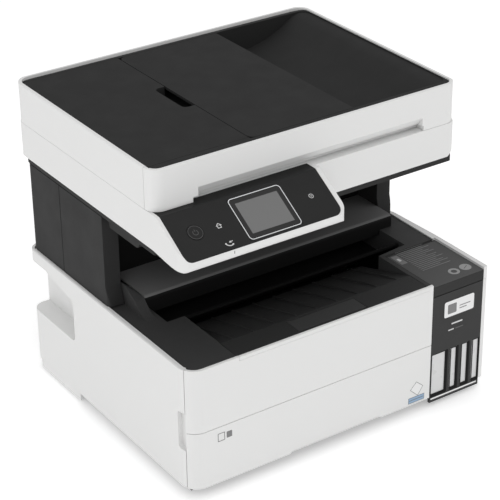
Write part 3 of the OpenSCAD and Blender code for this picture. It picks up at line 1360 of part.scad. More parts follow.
module feeder_frame() {
  color("#38383a") {
    difference() {
      union() {
        difference() {
          slab(corners4(-ff_x, ff_x, ff_front, ff_back, [cv_r - 7.2, cv_r - 7.2, cv_r - 4, cv_r - 4]),
            [cv_top - 5.8, ff_top]);
          // Openings under the feeder cover, the flap and the output bin
          box([fd_x0 - 0.4, fd_x1 + 0.6], [fl_y0 - 0.4, fl_y1 + 0.4], [cv_top - 9, cv_top]);
          slab(corners4(fd_x1 + 0.3, bin_x1, bin_y0, bin_y1, [0, 10, 10, 0]), [cv_top - 9, cv_top]);
          // Sloping strip along the back edge
          along_x([[fl_y1 + 0.8, ff_top + 0.1], [ff_back + 1, ff_top + 0.1], [ff_back + 1, ff_top - 2]],
            [-ff_x - 1, ff_x + 1]);
          box([-ff_x - 1, fd_x0], [fl_y0 - 0.4, fl_y1 + 0.4], [cv_top - 9, cv_top]);
        }
        // Bin: floor and its end walls
        difference() {
          intersection() {
            along_y(bin_outline(fd_x1 + 1, 2), [bin_y0 - 2, bin_y1 + 2]);
            slab(corners4(fd_x1, bin_x1 + 0.5, bin_y0 - 2, bin_y1 + 2, [0, 12, 12, 0]), [0, ff_top - 0.5]);
          }
          intersection() {
            along_y(bin_outline(fd_x1 - 5, 0), [bin_y0, bin_y1]);
            slab(corners4(fd_x1 - 6, bin_x1, bin_y0, bin_y1, [0, 10, 10, 0]), [0, cv_top + 2]);
          }
        }
      }
      // Bores of the flap's hinge
      rod_y(sh_x, [bin_y0 - 1.9, bin_y1 + 1.9], sh_z, hinge_pin_r + run_gap);
    }
    // Input tray under the flap
    along_y([[fd_x1 + 2, input_z(fd_x1 + 2)], [sp_x1 - 12, input_z(sp_x1 - 12)],
      [sp_x1 - 12, input_z(sp_x1 - 12) - 2], [fd_x1 + 2, input_z(fd_x1 + 2) - 2]], input_y);
    // Legs that stand the frame on the cover's floor
    for (y = [fl_y0 + 30, fl_y1 - 30]) box([ff_x - 24, ff_x - 20], [y, y + 4], [cv_z0 + 4.2, cv_top - 16]);
    // Lugs for the feeder cover's pins
    for (y = [fl_y0 + 0.3, fl_y1 - 3.3]) difference() {
      union() {
        rod_y(fh_x, [y, y + 3], fh_z, hinge_pin_r + 1);
        box([fh_x - hinge_pin_r - 1, fh_x + hinge_pin_r + 1], [y, y + 3], [cv_z0 + 4.2, fh_z]);
      }
      rod_y(fh_x, [y - 1, y + 4], fh_z, hinge_pin_r + run_gap);
    }
    // Bearing posts of the feed roller
    for (y = [fl_y0 + 6, fl_y1 - 10]) difference() {
      box([roll_x - 7, roll_x + 7], [y, y + 4], [cv_z0 + 4.2, roll_z + 8]);
      rod_y(roll_x, [y - 1, y + 5], roll_z, 4 + run_gap);
    }
  }
}

module feeder_roller() {
  color("#6d6f72") union() {
    rod_y(roll_x, [fl_y0 + 4, fl_y1 - 3], roll_z, 4);
    for (y = [-14, 24]) rod_y(roll_x, [y, y + 26], roll_z, roll_r);
    difference() {
      rod_y(roll_x, [fl_y1 - 5.8, fl_y1 - 3.4], roll_z, 8);
      for (a = [0 : 90 : 270]) translate([roll_x, fl_y1, roll_z]) rotate([0, a, 0]) translate([6, 0, 0])
        rotate([90, 0, 0]) cylinder(h = 8, r = 1.2, $fn = 16);
    }
  }
}

// Edge guide on the input tray, facing along Y
module feeder_guide(y, s) {
  x0 = fd_x1 + 12;
  x1 = sp_x1 - 34;
  color("#2c2c2e") along_y([[x0, input_z(x0) + 0.3], [x1, input_z(x1) + 0.3], [x1, input_z(x1) + 9],
    [x0 + 6, input_z(x1) + 9], [x0, input_z(x0) + 6]], [min(y, y + s * 2), max(y, y + s * 2)]);
  color("#2c2c2e") along_y([[x0 + 20, input_z(x0 + 20) + 0.3], [x1 - 20, input_z(x1 - 20) + 0.3],
    [x1 - 20, input_z(x1 - 20) + 1.8], [x0 + 20, input_z(x0 + 20) + 1.8]],
    [min(y + s * 1.9, y + s * 10), max(y + s * 1.9, y + s * 10)]);
}

guide_mid = (bin_y0 + bin_y1) / 2;
guide_gap = paper_w / 2 + 0.5;

module feeder_guide_front() {
  feeder_guide(guide_mid - guide_gap, -1);
}

module feeder_guide_rear() {
  feeder_guide(guide_mid + guide_gap, 1);
}

notch_x0 = fd_x1 - 13;
notch_y = [-6, 52];
notch_d = 12;

module feeder_cover() {
  color("#3b3b3d") {
    difference() {
      union() {
        slab(corners4(fd_x0, fd_x1, fl_y0, fl_y1, [0, 0, 0, 5]), [ff_top - flap_t, ff_top]);
        // Cup under the finger notch
        slab(corners4(notch_x0 - 1.5, fd_x1, notch_y[0] - 1.5, notch_y[1] + 1.5, [7, 0, 0, 7]),
          [ff_top - notch_d - 1.5, ff_top - 0.5]);
        // Stiffening ribs
        for (y = [fl_y0 + 20, -40, 84, fl_y1 - 20]) box([fh_x + 8, fd_x1 - 8], [y, y + 1.6],
          [ff_top - flap_t - 4, ff_top - flap_t + 0.1]);
      }
      slab(corners4(notch_x0, fd_x1 + 1, notch_y[0], notch_y[1], [6, 0, 0, 6]),
        [ff_top - notch_d, ff_top + 1]);
    }
    // Ears and pins of the hinge
    for (s = [-1, 1]) {
      y = s < 0 ? fl_y0 + 3.7 : fl_y1 - 6.7;
      box([fh_x - 3, fh_x + 3], [y, y + 3], [fh_z - 2, ff_top - flap_t + 0.1]);
      rod_y(fh_x, s < 0 ? [fl_y0 + 0.6, fl_y0 + 4] : [fl_y1 - 4, fl_y1 - 0.6], fh_z, hinge_pin_r);
    }
  }
}

module document_support() {
  y0 = bin_y0 + 0.5;
  y1 = bin_y1 - 0.5;
  color("#3d3d3f") {
    slab(corners4(sp_x0, sp_x1, y0, y1, [8, 2, 2, 8]), [ff_top - flap_t, ff_top]);
    for (y = [y0 + 40, guide_mid, y1 - 40]) box([sp_x0 + 14, sp_x1 - 26], [y, y + 1.6],
      [ff_top - flap_t - 1.2, ff_top - flap_t + 0.1]);
    for (s = [-1, 1]) {
      y = s < 0 ? y0 : y1 - 4;
      box([sh_x - 2.2, sh_x + 2.2], [y, y + 4], [sh_z - 1.8, ff_top - flap_t + 0.1]);
      rod_y(sh_x, s < 0 ? [bin_y0 - 1.6, y + 1] : [y + 3, bin_y1 + 1.6], sh_z, hinge_pin_r);
    }
  }
}

base_frame();
rubber_feet();
left_side_panel();
right_side_panel();
front_panel();
deck_frame();
exit_cover();
tower_covers();
rear_case();
inner_wall();
output_bed();
output_tray_mid();
output_tray_front();
output_stopper();
cassette_tray();
cassette_front();
left_paper_guide();
right_paper_guide();
paper_stop();
separation_pad();
ink_case();
ink_tanks();
ink_caps();
ink_lid();
chassis();
platen();
feed_roller();
eject_roller();
star_wheels();
pickup_roller();
motors();
print_carriage();
carriage_belt();
drive_pulley();
idler_pulley();
capping_station();
power_supply();
main_board();
maintenance_box();
rear_cover();
frame_screws();
scanner_case();
scanner_base();
scanner_hinges();
scanner_glass();
scan_carriage();
scan_drive();
control_panel();
screen();
power_button();
cover_shell();
cover_front();
cover_hinges();
backing_pad();
feeder_frame();
feeder_guide_front();
feeder_guide_rear();
feeder_roller();
feeder_cover();
document_support();
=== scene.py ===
import math
import bpy
import bmesh
from mathutils import Matrix, Vector


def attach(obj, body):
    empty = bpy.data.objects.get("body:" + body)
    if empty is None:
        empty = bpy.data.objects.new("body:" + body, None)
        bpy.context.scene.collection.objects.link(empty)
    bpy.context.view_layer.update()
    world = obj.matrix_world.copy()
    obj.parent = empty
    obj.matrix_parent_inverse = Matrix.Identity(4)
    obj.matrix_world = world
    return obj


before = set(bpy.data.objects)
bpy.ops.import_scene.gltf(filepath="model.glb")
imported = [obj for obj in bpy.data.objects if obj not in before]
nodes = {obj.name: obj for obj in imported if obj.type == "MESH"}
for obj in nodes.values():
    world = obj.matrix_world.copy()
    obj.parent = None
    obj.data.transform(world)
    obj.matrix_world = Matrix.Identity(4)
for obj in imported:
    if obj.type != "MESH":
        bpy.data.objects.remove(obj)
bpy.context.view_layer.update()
MM = 0.001
WELD = 0.05 * MM  # vertices closer than this are one
BEVEL_ANGLE = math.radians(28)  # edges sharper than this get a bevel
GRAIN_DEPTH = 0.0001  # depth of a moulded grain, in metres
ONE_TO_ONE = (1, 1, 1)


def srgb(v):
    v /= 255.0
    return v / 12.92 if v <= 0.04045 else ((v + 0.055) / 1.055) ** 2.4


def grey(v, tint=(1, 1, 1)):
    return tuple(srgb(v * t) for t in tint) + (1.0,)


# ---- materials -------------------------------------------------------------

def new_material(name, color, rough, metal=0.0, spec=0.5):
    m = bpy.data.materials.new(name)
    m.use_nodes = True
    b = m.node_tree.nodes["Principled BSDF"]
    b.inputs["Base Color"].default_value = color
    b.inputs["Roughness"].default_value = rough
    b.inputs["Metallic"].default_value = metal
    b.inputs["Specular IOR Level"].default_value = spec
    m.diffuse_color = color
    return m, m.node_tree, b


def object_coords(nt, scale):
    tc = nt.nodes.new("ShaderNodeTexCoord")
    mp = nt.nodes.new("ShaderNodeMapping")
    mp.inputs["Scale"].default_value = scale
    nt.links.new(tc.outputs["Object"], mp.inputs["Vector"])
    return mp.outputs["Vector"]


def noise(nt, vector, scale, detail=2.0, rough=0.5):
    n = nt.nodes.new("ShaderNodeTexNoise")
    n.inputs["Scale"].default_value = scale
    n.inputs["Detail"].default_value = detail
    n.inputs["Roughness"].default_value = rough
    nt.links.new(vector, n.inputs["Vector"])
    return n.outputs["Fac"]


def ramp(nt, fac, a, b):
    r = nt.nodes.new("ShaderNodeMapRange")
    r.inputs["From Min"].default_value = 0.3
    r.inputs["From Max"].default_value = 0.7
    r.inputs["To Min"].default_value = a
    r.inputs["To Max"].default_value = b
    nt.links.new(fac, r.inputs["Value"])
    return r.outputs["Result"]


def add_bump(nt, bsdf, height, strength, distance):
    b = nt.nodes.new("ShaderNodeBump")
    b.inputs["Strength"].default_value = strength
    b.inputs["Distance"].default_value = distance
    nt.links.new(height, b.inputs["Height"])
    nt.links.new(b.outputs["Normal"], bsdf.inputs["Normal"])


def tone(nt, bsdf, color, vector, scale, amount):
    """Very slight moulding-flow variation of the colour."""
    mix = nt.nodes.new("ShaderNodeMix")
    mix.data_type = "RGBA"
    lo = tuple(c * (1 - amount) for c in color[:3]) + (1.0,)
    hi = tuple(min(1.0, c * (1 + amount)) for c in color[:3]) + (1.0,)
    mix.inputs["A"].default_value = lo
    mix.inputs["B"].default_value = hi
    nt.links.new(noise(nt, vector, scale, 3.0), mix.inputs["Factor"])
    nt.links.new(mix.outputs["Result"], bsdf.inputs["Base Color"])


def plastic(name, color, rough, grain=900.0, strength=0.12, spec=0.4, vary=0.02, coat=0.0):
    """Moulded plastic with a spark-eroded grain, uneven gloss and faint flow tone."""
    m, nt, b = new_material(name, color, rough, spec=spec)
    v = object_coords(nt, ONE_TO_ONE)
    tone(nt, b, color, v, 9.0, vary)
    gloss = ramp(nt, noise(nt, v, 40.0, 3.0), rough * 0.92, min(1.0, rough * 1.08))
    nt.links.new(gloss, b.inputs["Roughness"])
    add_bump(nt, b, noise(nt, v, grain, 2.0, 0.6), strength, GRAIN_DEPTH)
    b.inputs["Coat Weight"].default_value = coat
    return m


def metal(name, color, rough, stretch):
    """Brushed or rolled metal: noise drawn out along one axis."""
    m, nt, b = new_material(name, color, rough, 1.0)
    v = object_coords(nt, stretch)
    n = noise(nt, v, 220.0, 4.0, 0.65)
    nt.links.new(ramp(nt, n, rough * 0.75, rough * 1.25), b.inputs["Roughness"])
    add_bump(nt, b, n, 0.08, 0.00005)
    return m


def rubber(name, color, rough=0.8):
    m, nt, b = new_material(name, color, rough, spec=0.25)
    v = object_coords(nt, ONE_TO_ONE)
    tone(nt, b, color, v, 60.0, 0.15)
    add_bump(nt, b, noise(nt, v, 1500.0, 3.0, 0.7), 0.25, 0.0002)
    return m


def by_axis(name, axis, stops, rough, spec=0.5, bump=0.0):
    """One colour up to each edge along an axis of the part, in metres, and the next one past it."""
    m, nt, b = new_material(name, stops[0][1], rough, spec=spec)
    tc = nt.nodes.new("ShaderNodeTexCoord")
    sp = nt.nodes.new("ShaderNodeSeparateXYZ")
    nt.links.new(tc.outputs["Object"], sp.inputs["Vector"])
    last = None
    for edge, color in stops[1:]:
        gt = nt.nodes.new("ShaderNodeMath")
        gt.operation = "GREATER_THAN"
        gt.inputs[1].default_value = edge
        nt.links.new(sp.outputs[axis], gt.inputs[0])
        mix = nt.nodes.new("ShaderNodeMix")
        mix.data_type = "RGBA"
        mix.inputs["A"].default_value = stops[0][1]
        if last:
            nt.links.new(last, mix.inputs["A"])
        mix.inputs["B"].default_value = color
        nt.links.new(gt.outputs["Value"], mix.inputs["Factor"])
        last = mix.outputs["Result"]
    nt.links.new(last, b.inputs["Base Color"])
    if bump:
        add_bump(nt, b, noise(nt, object_coords(nt, ONE_TO_ONE), 900.0), bump, GRAIN_DEPTH)
    return m


def clear(name, color, rough, weight, ior=1.49):
    m, nt, b = new_material(name, color, rough)
    b.inputs["Transmission Weight"].default_value = weight
    b.inputs["IOR"].default_value = ior
    v = object_coords(nt, ONE_TO_ONE)
    gloss = ramp(nt, noise(nt, v, 120.0, 2.0), rough * 0.8, rough * 1.2 + 0.005)
    nt.links.new(gloss, b.inputs["Roughness"])
    return m


WHITE_TONE = grey(222, (1, 1, 0.997))
WHITE = plastic("white_shell", WHITE_TONE, 0.6, 1100.0, 0.10, 0.25, 0.004)
UNIT = plastic("ink_unit_dark", grey(58), 0.62, 1000.0, 0.16, 0.12, 0.03)
DARK = plastic("dark_shell", grey(46), 0.62, 1000.0, 0.16, 0.12, 0.03)
FLAPS = plastic("feeder_dark", grey(43), 0.62, 1000.0, 0.14, 0.10, 0.02)
DECK = plastic("deck_dark", grey(60), 0.55, 1000.0, 0.16, 0.15, 0.03)
# Inner parts under the scanner: dark plastic, set darker than the black plastic as painted shade for the
# shadow in the pit.
INNER_DARK_AND_SHADE = plastic("inner_dark", grey(22), 0.7, 700.0, 0.10, 0.06, 0.04)
BLACK = plastic("black_plastic", grey(30), 0.5, 800.0, 0.12, 0.2, 0.05)
PANEL = plastic("panel_gloss", grey(34), 0.42, 500.0, 0.03, 0.15, 0.02)
SCREEN = plastic("screen_border", grey(26), 0.2, 300.0, 0.01, 0.2, 0.01, 0.1)
STEEL = metal("steel", (0.56, 0.57, 0.59, 1), 0.32, (0.05, 1, 1))
MOTOR = metal("motor_steel", (0.25, 0.25, 0.27, 1), 0.42, (1, 0.05, 1))
RUBBER = rubber("rubber", grey(38))
BELT = rubber("belt_rubber", grey(30), 0.7)
FOAM = plastic("white_pad", grey(232), 0.95, 350.0, 0.2, 0.1, 0.006)
GLASS = clear("clear_glass", (0.93, 0.97, 0.96, 1), 0.02, 0.92, 1.5)
TANK = plastic("ink_tank", grey(206), 0.28, 600.0, 0.03, 0.5, 0.03, 0.2)
INKS = [grey(30), (0.0, 0.26, 0.62, 1), (0.62, 0.01, 0.20, 1), (0.86, 0.62, 0.01, 1)]
CAPS = by_axis("ink_cap", "X", list(zip((0, 0.1415, 0.157, 0.172), INKS)), 0.6, 0.4, 0.1)

# Ink lid: dark grey up to 149 mm, and its top face above that is painted a lighter grey, a painted highlight
# for the light on the top.
INK_LID_PAINTED_TOP = by_axis("ink_lid_dark_painted_top", "Z", [(0, grey(50)), (0.149, grey(86))], 0.62, 0.12, 0.12)
# Exit bar: near black up to 163.2 mm, and its top above that is painted light grey, a painted highlight
# standing for the light on the top face.
EXIT_BAR_PAINTED_LIGHT = by_axis("exit_bar_painted_light", "Z", [(0, grey(20)), (0.1632, grey(112))], 0.6, 0.1, 0.12)
LIP = by_axis("tray_lip", "Y", [(0, WHITE_TONE), (-0.1702, grey(47))], 0.6, 0.2, 0.12)
BOARD_GREEN, PORT_METAL = (0.01, 0.11, 0.045, 1), (0.42, 0.43, 0.44, 1)
PORTS = by_axis("board_and_ports", "Y", [(0, BOARD_GREEN), (0.128, PORT_METAL)], 0.4, 0.5, 0.05)

BY_NODE = {
    WHITE: "left_side_panel right_side_panel front_panel cassette_front scanner_case cover_shell cover_front",
    DARK: "tower_covers rear_case scanner_base scanner_hinges rear_cover cover_hinges",
    UNIT: "ink_case", INK_LID_PAINTED_TOP: "ink_lid",
    FLAPS: "feeder_frame feeder_guide_front feeder_guide_rear feeder_cover document_support",
    EXIT_BAR_PAINTED_LIGHT: "exit_cover",
    LIP: "output_tray_front",
    DECK: "deck_frame output_stopper",
    INNER_DARK_AND_SHADE: "inner_wall output_bed output_tray_mid",
    BLACK: "base_frame cassette_tray left_paper_guide right_paper_guide paper_stop platen print_carriage "
           "drive_pulley idler_pulley capping_station power_supply maintenance_box scan_carriage",
    PANEL: "control_panel power_button",
    SCREEN: "screen",
    STEEL: "chassis feed_roller eject_roller star_wheels frame_screws scan_drive",
    MOTOR: "motors",
    RUBBER: "rubber_feet pickup_roller feeder_roller separation_pad",
    BELT: "carriage_belt",
    FOAM: "backing_pad",
    GLASS: "scanner_glass",
    TANK: "ink_tanks",
    CAPS: "ink_caps",
    PORTS: "main_board",
}
BEVEL_MM = {
    0.15: "output_tray_front",
    0.3: "front_panel cassette_front output_tray_mid output_stopper control_panel power_button "
         "feeder_frame feeder_guide_front feeder_guide_rear",
    0.4: "left_side_panel right_side_panel deck_frame exit_cover ink_case ink_lid scanner_base "
         "cassette_tray paper_stop left_paper_guide right_paper_guide print_carriage "
         "scanner_hinges maintenance_box",
    0.5: "cover_shell cover_front tower_covers rear_case feeder_cover document_support "
         "rear_cover ink_caps",
    0.6: "scanner_case rubber_feet",
}
BEVEL = {name: width * MM for width, names in BEVEL_MM.items() for name in names.split()}
FLAT = ("left_side_panel", "right_side_panel")
for mat, names in BY_NODE.items():
    for n in names.split():
        o = nodes[n]
        o.data.materials.clear()
        o.data.materials.append(mat)
        o.data.polygons.foreach_set("material_index", [0] * len(o.data.polygons))
        o.data.polygons.foreach_set("use_smooth", [n in BEVEL and n not in FLAT] * len(o.data.polygons))
        w = o.modifiers.new("weld", "WELD")
        w.merge_threshold = WELD
        if n in BEVEL:
            if "custom_normal" in o.data.attributes:
                o.data.attributes.remove(o.data.attributes["custom_normal"])
            b = o.modifiers.new("bevel", "BEVEL")
            b.width = BEVEL[n]
            b.segments = 3
            b.limit_method = "ANGLE"
            b.angle_limit = BEVEL_ANGLE
            b.use_clamp_overlap = True
            b.harden_normals = False
            if n not in FLAT:
                o.modifiers.new("normals", "WEIGHTED_NORMAL").keep_sharp = True

# ---- small surface details -------------------------------------------------

YF = -173.5 * MM
SX = 186.4 * MM
PANEL_Z = 271.5 * MM
TILT = math.radians(31.3)


class Face:
    """A flat place to put marks on: an origin, two directions in it and its outward normal."""

    def __init__(self, origin, ux, uy):
        self.o, self.x, self.y = Vector(origin), Vector(ux), Vector(uy)
        self.n = self.x.cross(self.y).normalized()

    def at(self, p, w):
        return self.o + self.x * p[0] * MM + self.y * p[1] * MM + self.n * w * MM


FRONT = Face((0, YF, 0), (1, 0, 0), (0, 0, 1))
SLOPE = Face((-SX, YF, PANEL_Z), (1, 0, 0), (0, math.cos(TILT), math.sin(TILT)))


def plate(name, face, outline, mat, body, w0=0.0, w1=0.08, hole=None):
    """A thin plate on a face, or a ring if it has a hole with as many corners."""
    bm = bmesh.new()
    n = len(outline)
    loops = [[bm.verts.new(face.at(p, w)) for p in pts] for pts in ([outline, hole] if hole else [outline])
             for w in (w0, w1)]
    if hole:
        a0, a1, b0, b1 = loops
        for i in range(n):
            j = (i + 1) % n
            bm.faces.new((a0[i], a0[j], a1[j], a1[i]))
            bm.faces.new((b0[j], b0[i], b1[i], b1[j]))
            bm.faces.new((a1[i], a1[j], b1[j], b1[i]))
            bm.faces.new((a0[j], a0[i], b0[i], b0[j]))
    else:
        a0, a1 = loops
        for i in range(n):
            j = (i + 1) % n
            bm.faces.new((a0[i], a0[j], a1[j], a1[i]))
        bm.faces.new(a1)
        bm.faces.new(list(reversed(a0)))
    bmesh.ops.recalc_face_normals(bm, faces=bm.faces)
    me = bpy.data.meshes.new(name)
    bm.to_mesh(me)
    bm.free()
    o = bpy.data.objects.new(name, me)
    bpy.context.scene.collection.objects.link(o)
    me.materials.append(mat)
    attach(o, body)
    return o


def rounded(x0, x1, y0, y1, r, k=8):
    pts = []
    centres = ((x1 - r, y1 - r, 0), (x0 + r, y1 - r, 90), (x0 + r, y0 + r, 180), (x1 - r, y0 + r, 270))
    for cx, cy, a in centres:
        for i in range(k + 1):
            t = math.radians(a + 90 * i / k)
            pts.append((cx + r * math.cos(t), cy + r * math.sin(t)))
    return pts


def disc(cx, cy, r, k=40):
    turns = [2 * math.pi * i / k for i in range(k)]
    return [(cx + r * math.cos(t), cy + r * math.sin(t)) for t in turns]


def line(p, q, w):
    dx, dy = q[0] - p[0], q[1] - p[1]
    s = w / 2 / math.hypot(dx, dy)
    nx, ny = -dy * s, dx * s
    return [(p[0] - nx, p[1] - ny), (q[0] - nx, q[1] - ny), (q[0] + nx, q[1] + ny), (p[0] + nx, p[1] + ny)]


def arc_band(cx, cy, r, w, a0, a1, k=14):
    pts = [(cx + (r + w / 2) * math.cos(math.radians(a0 + (a1 - a0) * i / k)),
            cy + (r + w / 2) * math.sin(math.radians(a0 + (a1 - a0) * i / k))) for i in range(k + 1)]
    pts += [(cx + (r - w / 2) * math.cos(math.radians(a1 - (a1 - a0) * i / k)),
             cy + (r - w / 2) * math.sin(math.radians(a1 - (a1 - a0) * i / k))) for i in range(k + 1)]
    return pts


SILVER = new_material("silver_trim", (0.66, 0.67, 0.68, 1), 0.28, 0.9)[0]
LIGHT = plastic("print_light", grey(205), 0.45, 400.0, 0.02, 0.4, 0.01)
MID = plastic("print_grey", grey(120), 0.5, 400.0, 0.02, 0.4, 0.01)
PALE = plastic("print_pale", grey(150), 0.5, 400.0, 0.02, 0.4, 0.01)
TEXT = plastic("print_text", grey(126), 0.5, 400.0, 0.02, 0.4, 0.01)
FAINT = plastic("print_faint", grey(84), 0.5, 400.0, 0.02, 0.4, 0.01)
LABEL = plastic("label_white", grey(226), 0.4, 300.0, 0.02, 0.5, 0.01)
BLUE = plastic("label_blue", grey(190, (0.72, 0.86, 1.0)), 0.4, 300.0, 0.02, 0.5, 0.01)
LINE = plastic("label_line", grey(92), 0.5, 300.0, 0.02, 0.4, 0.01)
# Near black for painted shade: the shadow lines in seams and the shaded walls of the window recesses.
PAINTED_SHADE = plastic("painted_shade_dark", grey(28), 0.8, 300.0, 0.02, 0.1, 0.01)


def slope_v(y):
    return (y + 173.5) / math.cos(TILT)


def display_material():
    """Switched-off display: a grey face that is very slightly uneven."""
    m, nt, b = new_material("display", grey(90), 0.16, spec=0.5)
    v = object_coords(nt, ONE_TO_ONE)
    tone(nt, b, grey(94), v, 14.0, 0.05)
    b.inputs["Coat Weight"].default_value = 0.3
    return m


DISPLAY = display_material()
LX, LV = 106.9, slope_v(-149.1)
plate("display_face", SLOPE, rounded(LX - 24.5, LX + 24.5, LV - 18.2, LV + 18.2, 0.6),
      DISPLAY, "scanner_unit", 0.19, 0.27)
plate("display_trim", SLOPE, rounded(LX - 30.5, LX + 30.5, LV - 24.6, LV + 24.6, 4.4),
      SILVER, "scanner_unit", -0.3, 0.42, rounded(LX - 29.7, LX + 29.7, LV - 23.8, LV + 23.8, 3.6))

# Home mark
hx, hv = 54.5, slope_v(-148.3)
plate("home_roof_l", SLOPE, line((hx - 3.0, hv + 0.1), (hx + 0.1, hv + 3.0), 0.75),
      LIGHT, "scanner_unit", 0, 0.07)
plate("home_roof_r", SLOPE, line((hx - 0.1, hv + 3.0), (hx + 3.0, hv + 0.1), 0.75),
      LIGHT, "scanner_unit", 0, 0.07)
plate("home_walls", SLOPE, rounded(hx - 2.1, hx + 2.1, hv - 2.6, hv + 0.6, 0.3),
      LIGHT, "scanner_unit", 0, 0.06, rounded(hx - 1.4, hx + 1.4, hv - 1.9, hv + 0.4, 0.1))
# Ring with a dot
qx, qv = 162.8, slope_v(-148.0)
plate("help_ring", SLOPE, disc(qx, qv, 2.6), LIGHT, "scanner_unit", 0, 0.06, disc(qx, qv, 2.0))
plate("help_dot", SLOPE, disc(qx, qv, 0.7, 20), LIGHT, "scanner_unit", 0, 0.06)
# Curved arrow mark, and its tick on the bezel
px, pv = 54.8, slope_v(-166.4)
plate("call_arc", SLOPE, arc_band(px + 0.4, pv + 2.6, 5.2, 1.0, 205, 300), LIGHT, "scanner_unit", 0, 0.06)
plate("call_end_l", SLOPE, disc(px - 4.1, pv + 0.6, 0.9, 20), LIGHT, "scanner_unit", 0, 0.07)
plate("call_end_r", SLOPE, disc(px + 2.9, pv - 1.8, 0.9, 20), LIGHT, "scanner_unit", 0, 0.07)
plate("call_arrow", SLOPE, [(px - 0.4, pv + 1.2), (px + 2.0, pv + 0.1), (px + 1.8, pv + 2.8)],
      LIGHT, "scanner_unit", 0, 0.06)
plate("call_arrow_tail", SLOPE, line((px + 1.6, pv + 1.4), (px + 4.2, pv + 1.9), 0.7),
      LIGHT, "scanner_unit", 0, 0.05)
TICKS = Face((-SX, YF, 263 * MM), (1, 0, 0), (0, 0, 1))
plate("bezel_tick", TICKS, line((px + 0.6, 4.6), (px + 0.6, 7.6), 0.8), MID, "scanner_unit", 0, 0.06)
# Power mark on its button
bx, bv = 28.4, slope_v(-147.6)
plate("power_ring", SLOPE, disc(bx, bv, 7.6), FAINT, "power_button", 0.2, 0.26, disc(bx, bv, 7.25))
plate("power_arc", SLOPE, arc_band(bx, bv - 0.2, 2.7, 0.5, 125, 415, 24), FAINT, "power_button", 0.2, 0.26)
plate("power_bar", SLOPE, line((bx, bv + 0.8), (bx, bv + 3.6), 0.5), FAINT, "power_button", 0.2, 0.27)

# ---- ink unit: a plain label and plain bars --------------------------------------------------------------
plate("ink_sticker", FRONT, rounded(133, 173.5, 106.5, 125.5, 2.2), LABEL, "base", 0, 0.1)
plate("sticker_block", FRONT, rounded(137.5, 149.5, 110.0, 121.5, 1.2), MID, "base", 0.1, 0.14)
for i, (x0, x1, z) in enumerate(((153.5, 168.5, 115.6), (153.5, 163.5, 112.4))):
    plate("sticker_line_%d" % i, FRONT, rounded(x0, x1, z, z + 1.1, 0.4), MID, "base", 0.1, 0.14)
plate("unit_mark_a", FRONT, rounded(143.5, 158.5, 95.8, 97.6, 0.6), LIGHT, "base", 0, 0.06)
plate("unit_mark_b", FRONT, rounded(139.5, 147.0, 89.0, 90.4, 0.4), LIGHT, "base", 0, 0.06)
plate("unit_mark_c", FRONT, rounded(149.0, 160.0, 89.0, 90.2, 0.4), FAINT, "base", 0, 0.06)

plate("unit_strip", FRONT, rounded(118.5, 182.5, 9.6, 11.4, 0.3), LABEL, "base", 0, 0.15)
WINDOWS = ((118.5, 137.5), (145.0, 152.5), (160.0, 168.0), (175.6, 183.5))
# Painted shade: a thin near-black ring lining the walls of each window recess.
for i, (x0, x1) in enumerate(WINDOWS):
    plate("window_recess_shade_%d" % i, FRONT, rounded(x0, x1, 15.5, 65.5, 0.3), PAINTED_SHADE, "base", -3.6, -0.25,
          rounded(x0 + 0.35, x1 - 0.35, 15.85, 65.15, 0.2))
# Painted shade: near-black strips along the right side and the bottom of each window stand for the shaded
# recess walls.
for i, (x0, x1) in enumerate(WINDOWS):
    x2 = min(x1 + 3.0, 185.0)
    plate("window_side_shade_%d" % i, FRONT, rounded(x1 + 0.35, x2, 12.4, 66.5, 0.2), PAINTED_SHADE, "base", -0.3, -0.24)
    plate("window_foot_shade_%d" % i, FRONT, rounded(x0 - 0.3, x1 + 0.3, 12.4, 15.15, 0.2),
          PAINTED_SHADE, "base", -0.3, -0.24)

# Plain marks on the lid of the ink unit
LID = Face((0, 0, 149.3 * MM), (1, 0, 0), (0, 1, 0))
plate("lid_tag", LID, rounded(121, 129, -115, -95, 0.6), MID, "ink_lid", 0, 0.07)
plate("lid_tag_mark", LID, rounded(123.4, 126.6, -108, -102, 0.8), LIGHT, "ink_lid", 0.05, 0.1)
for i in range(15):
    y = -90 - i * 3.4
    w = (38, 34, 41, 30, 36, 40, 27)[i % 7]
    plate("lid_line_%d" % i, LID, rounded(131, 131 + w, y - 0.4, y + 0.4, 0.2, 3), TEXT, "ink_lid", 0, 0.05)
plate("lid_ring", LID, disc(157, -158, 6.4), PALE, "ink_lid", 0, 0.06, disc(157, -158, 3.4))
plate("lid_disc", LID, disc(173, -157.5, 6.6), PALE, "ink_lid", 0, 0.05)
plate("lid_disc_bar", LID, line((169.5, -159.5), (176.5, -155.5), 0.8), FAINT, "ink_lid", 0.04, 0.08)

# Painted shadow lines round the lid, in the seam on the left of the document cover and between the front
# panel and the cassette
plate("lid_side_line", LID, rounded(117.5, 118.3, -170.5, -92.0, 0.1), PAINTED_SHADE, "ink_lid", 0, 0.04)
plate("lid_back_line", LID, rounded(117.5, 185.0, -92.6, -91.6, 0.1), PAINTED_SHADE, "ink_lid", 0, 0.04)
plate("lid_front_line", FRONT, rounded(117.4, 185.2, 136.2, 136.95, 0.1), PAINTED_SHADE, "base", -0.3, -0.24)
LEFT = Face((-SX, 0, 0), (0, -1, 0), (0, 0, 1))
plate("cover_seam_line", LEFT, rounded(102.6, 103.4, 303.5, 344.0, 0.1), PAINTED_SHADE, "document_cover", -1.6, -1.2)
plate("front_seam_line", FRONT, rounded(-168.0, 116.4, 79.05, 80.2, 0.1), PAINTED_SHADE, "base", -1.5, -1.2)

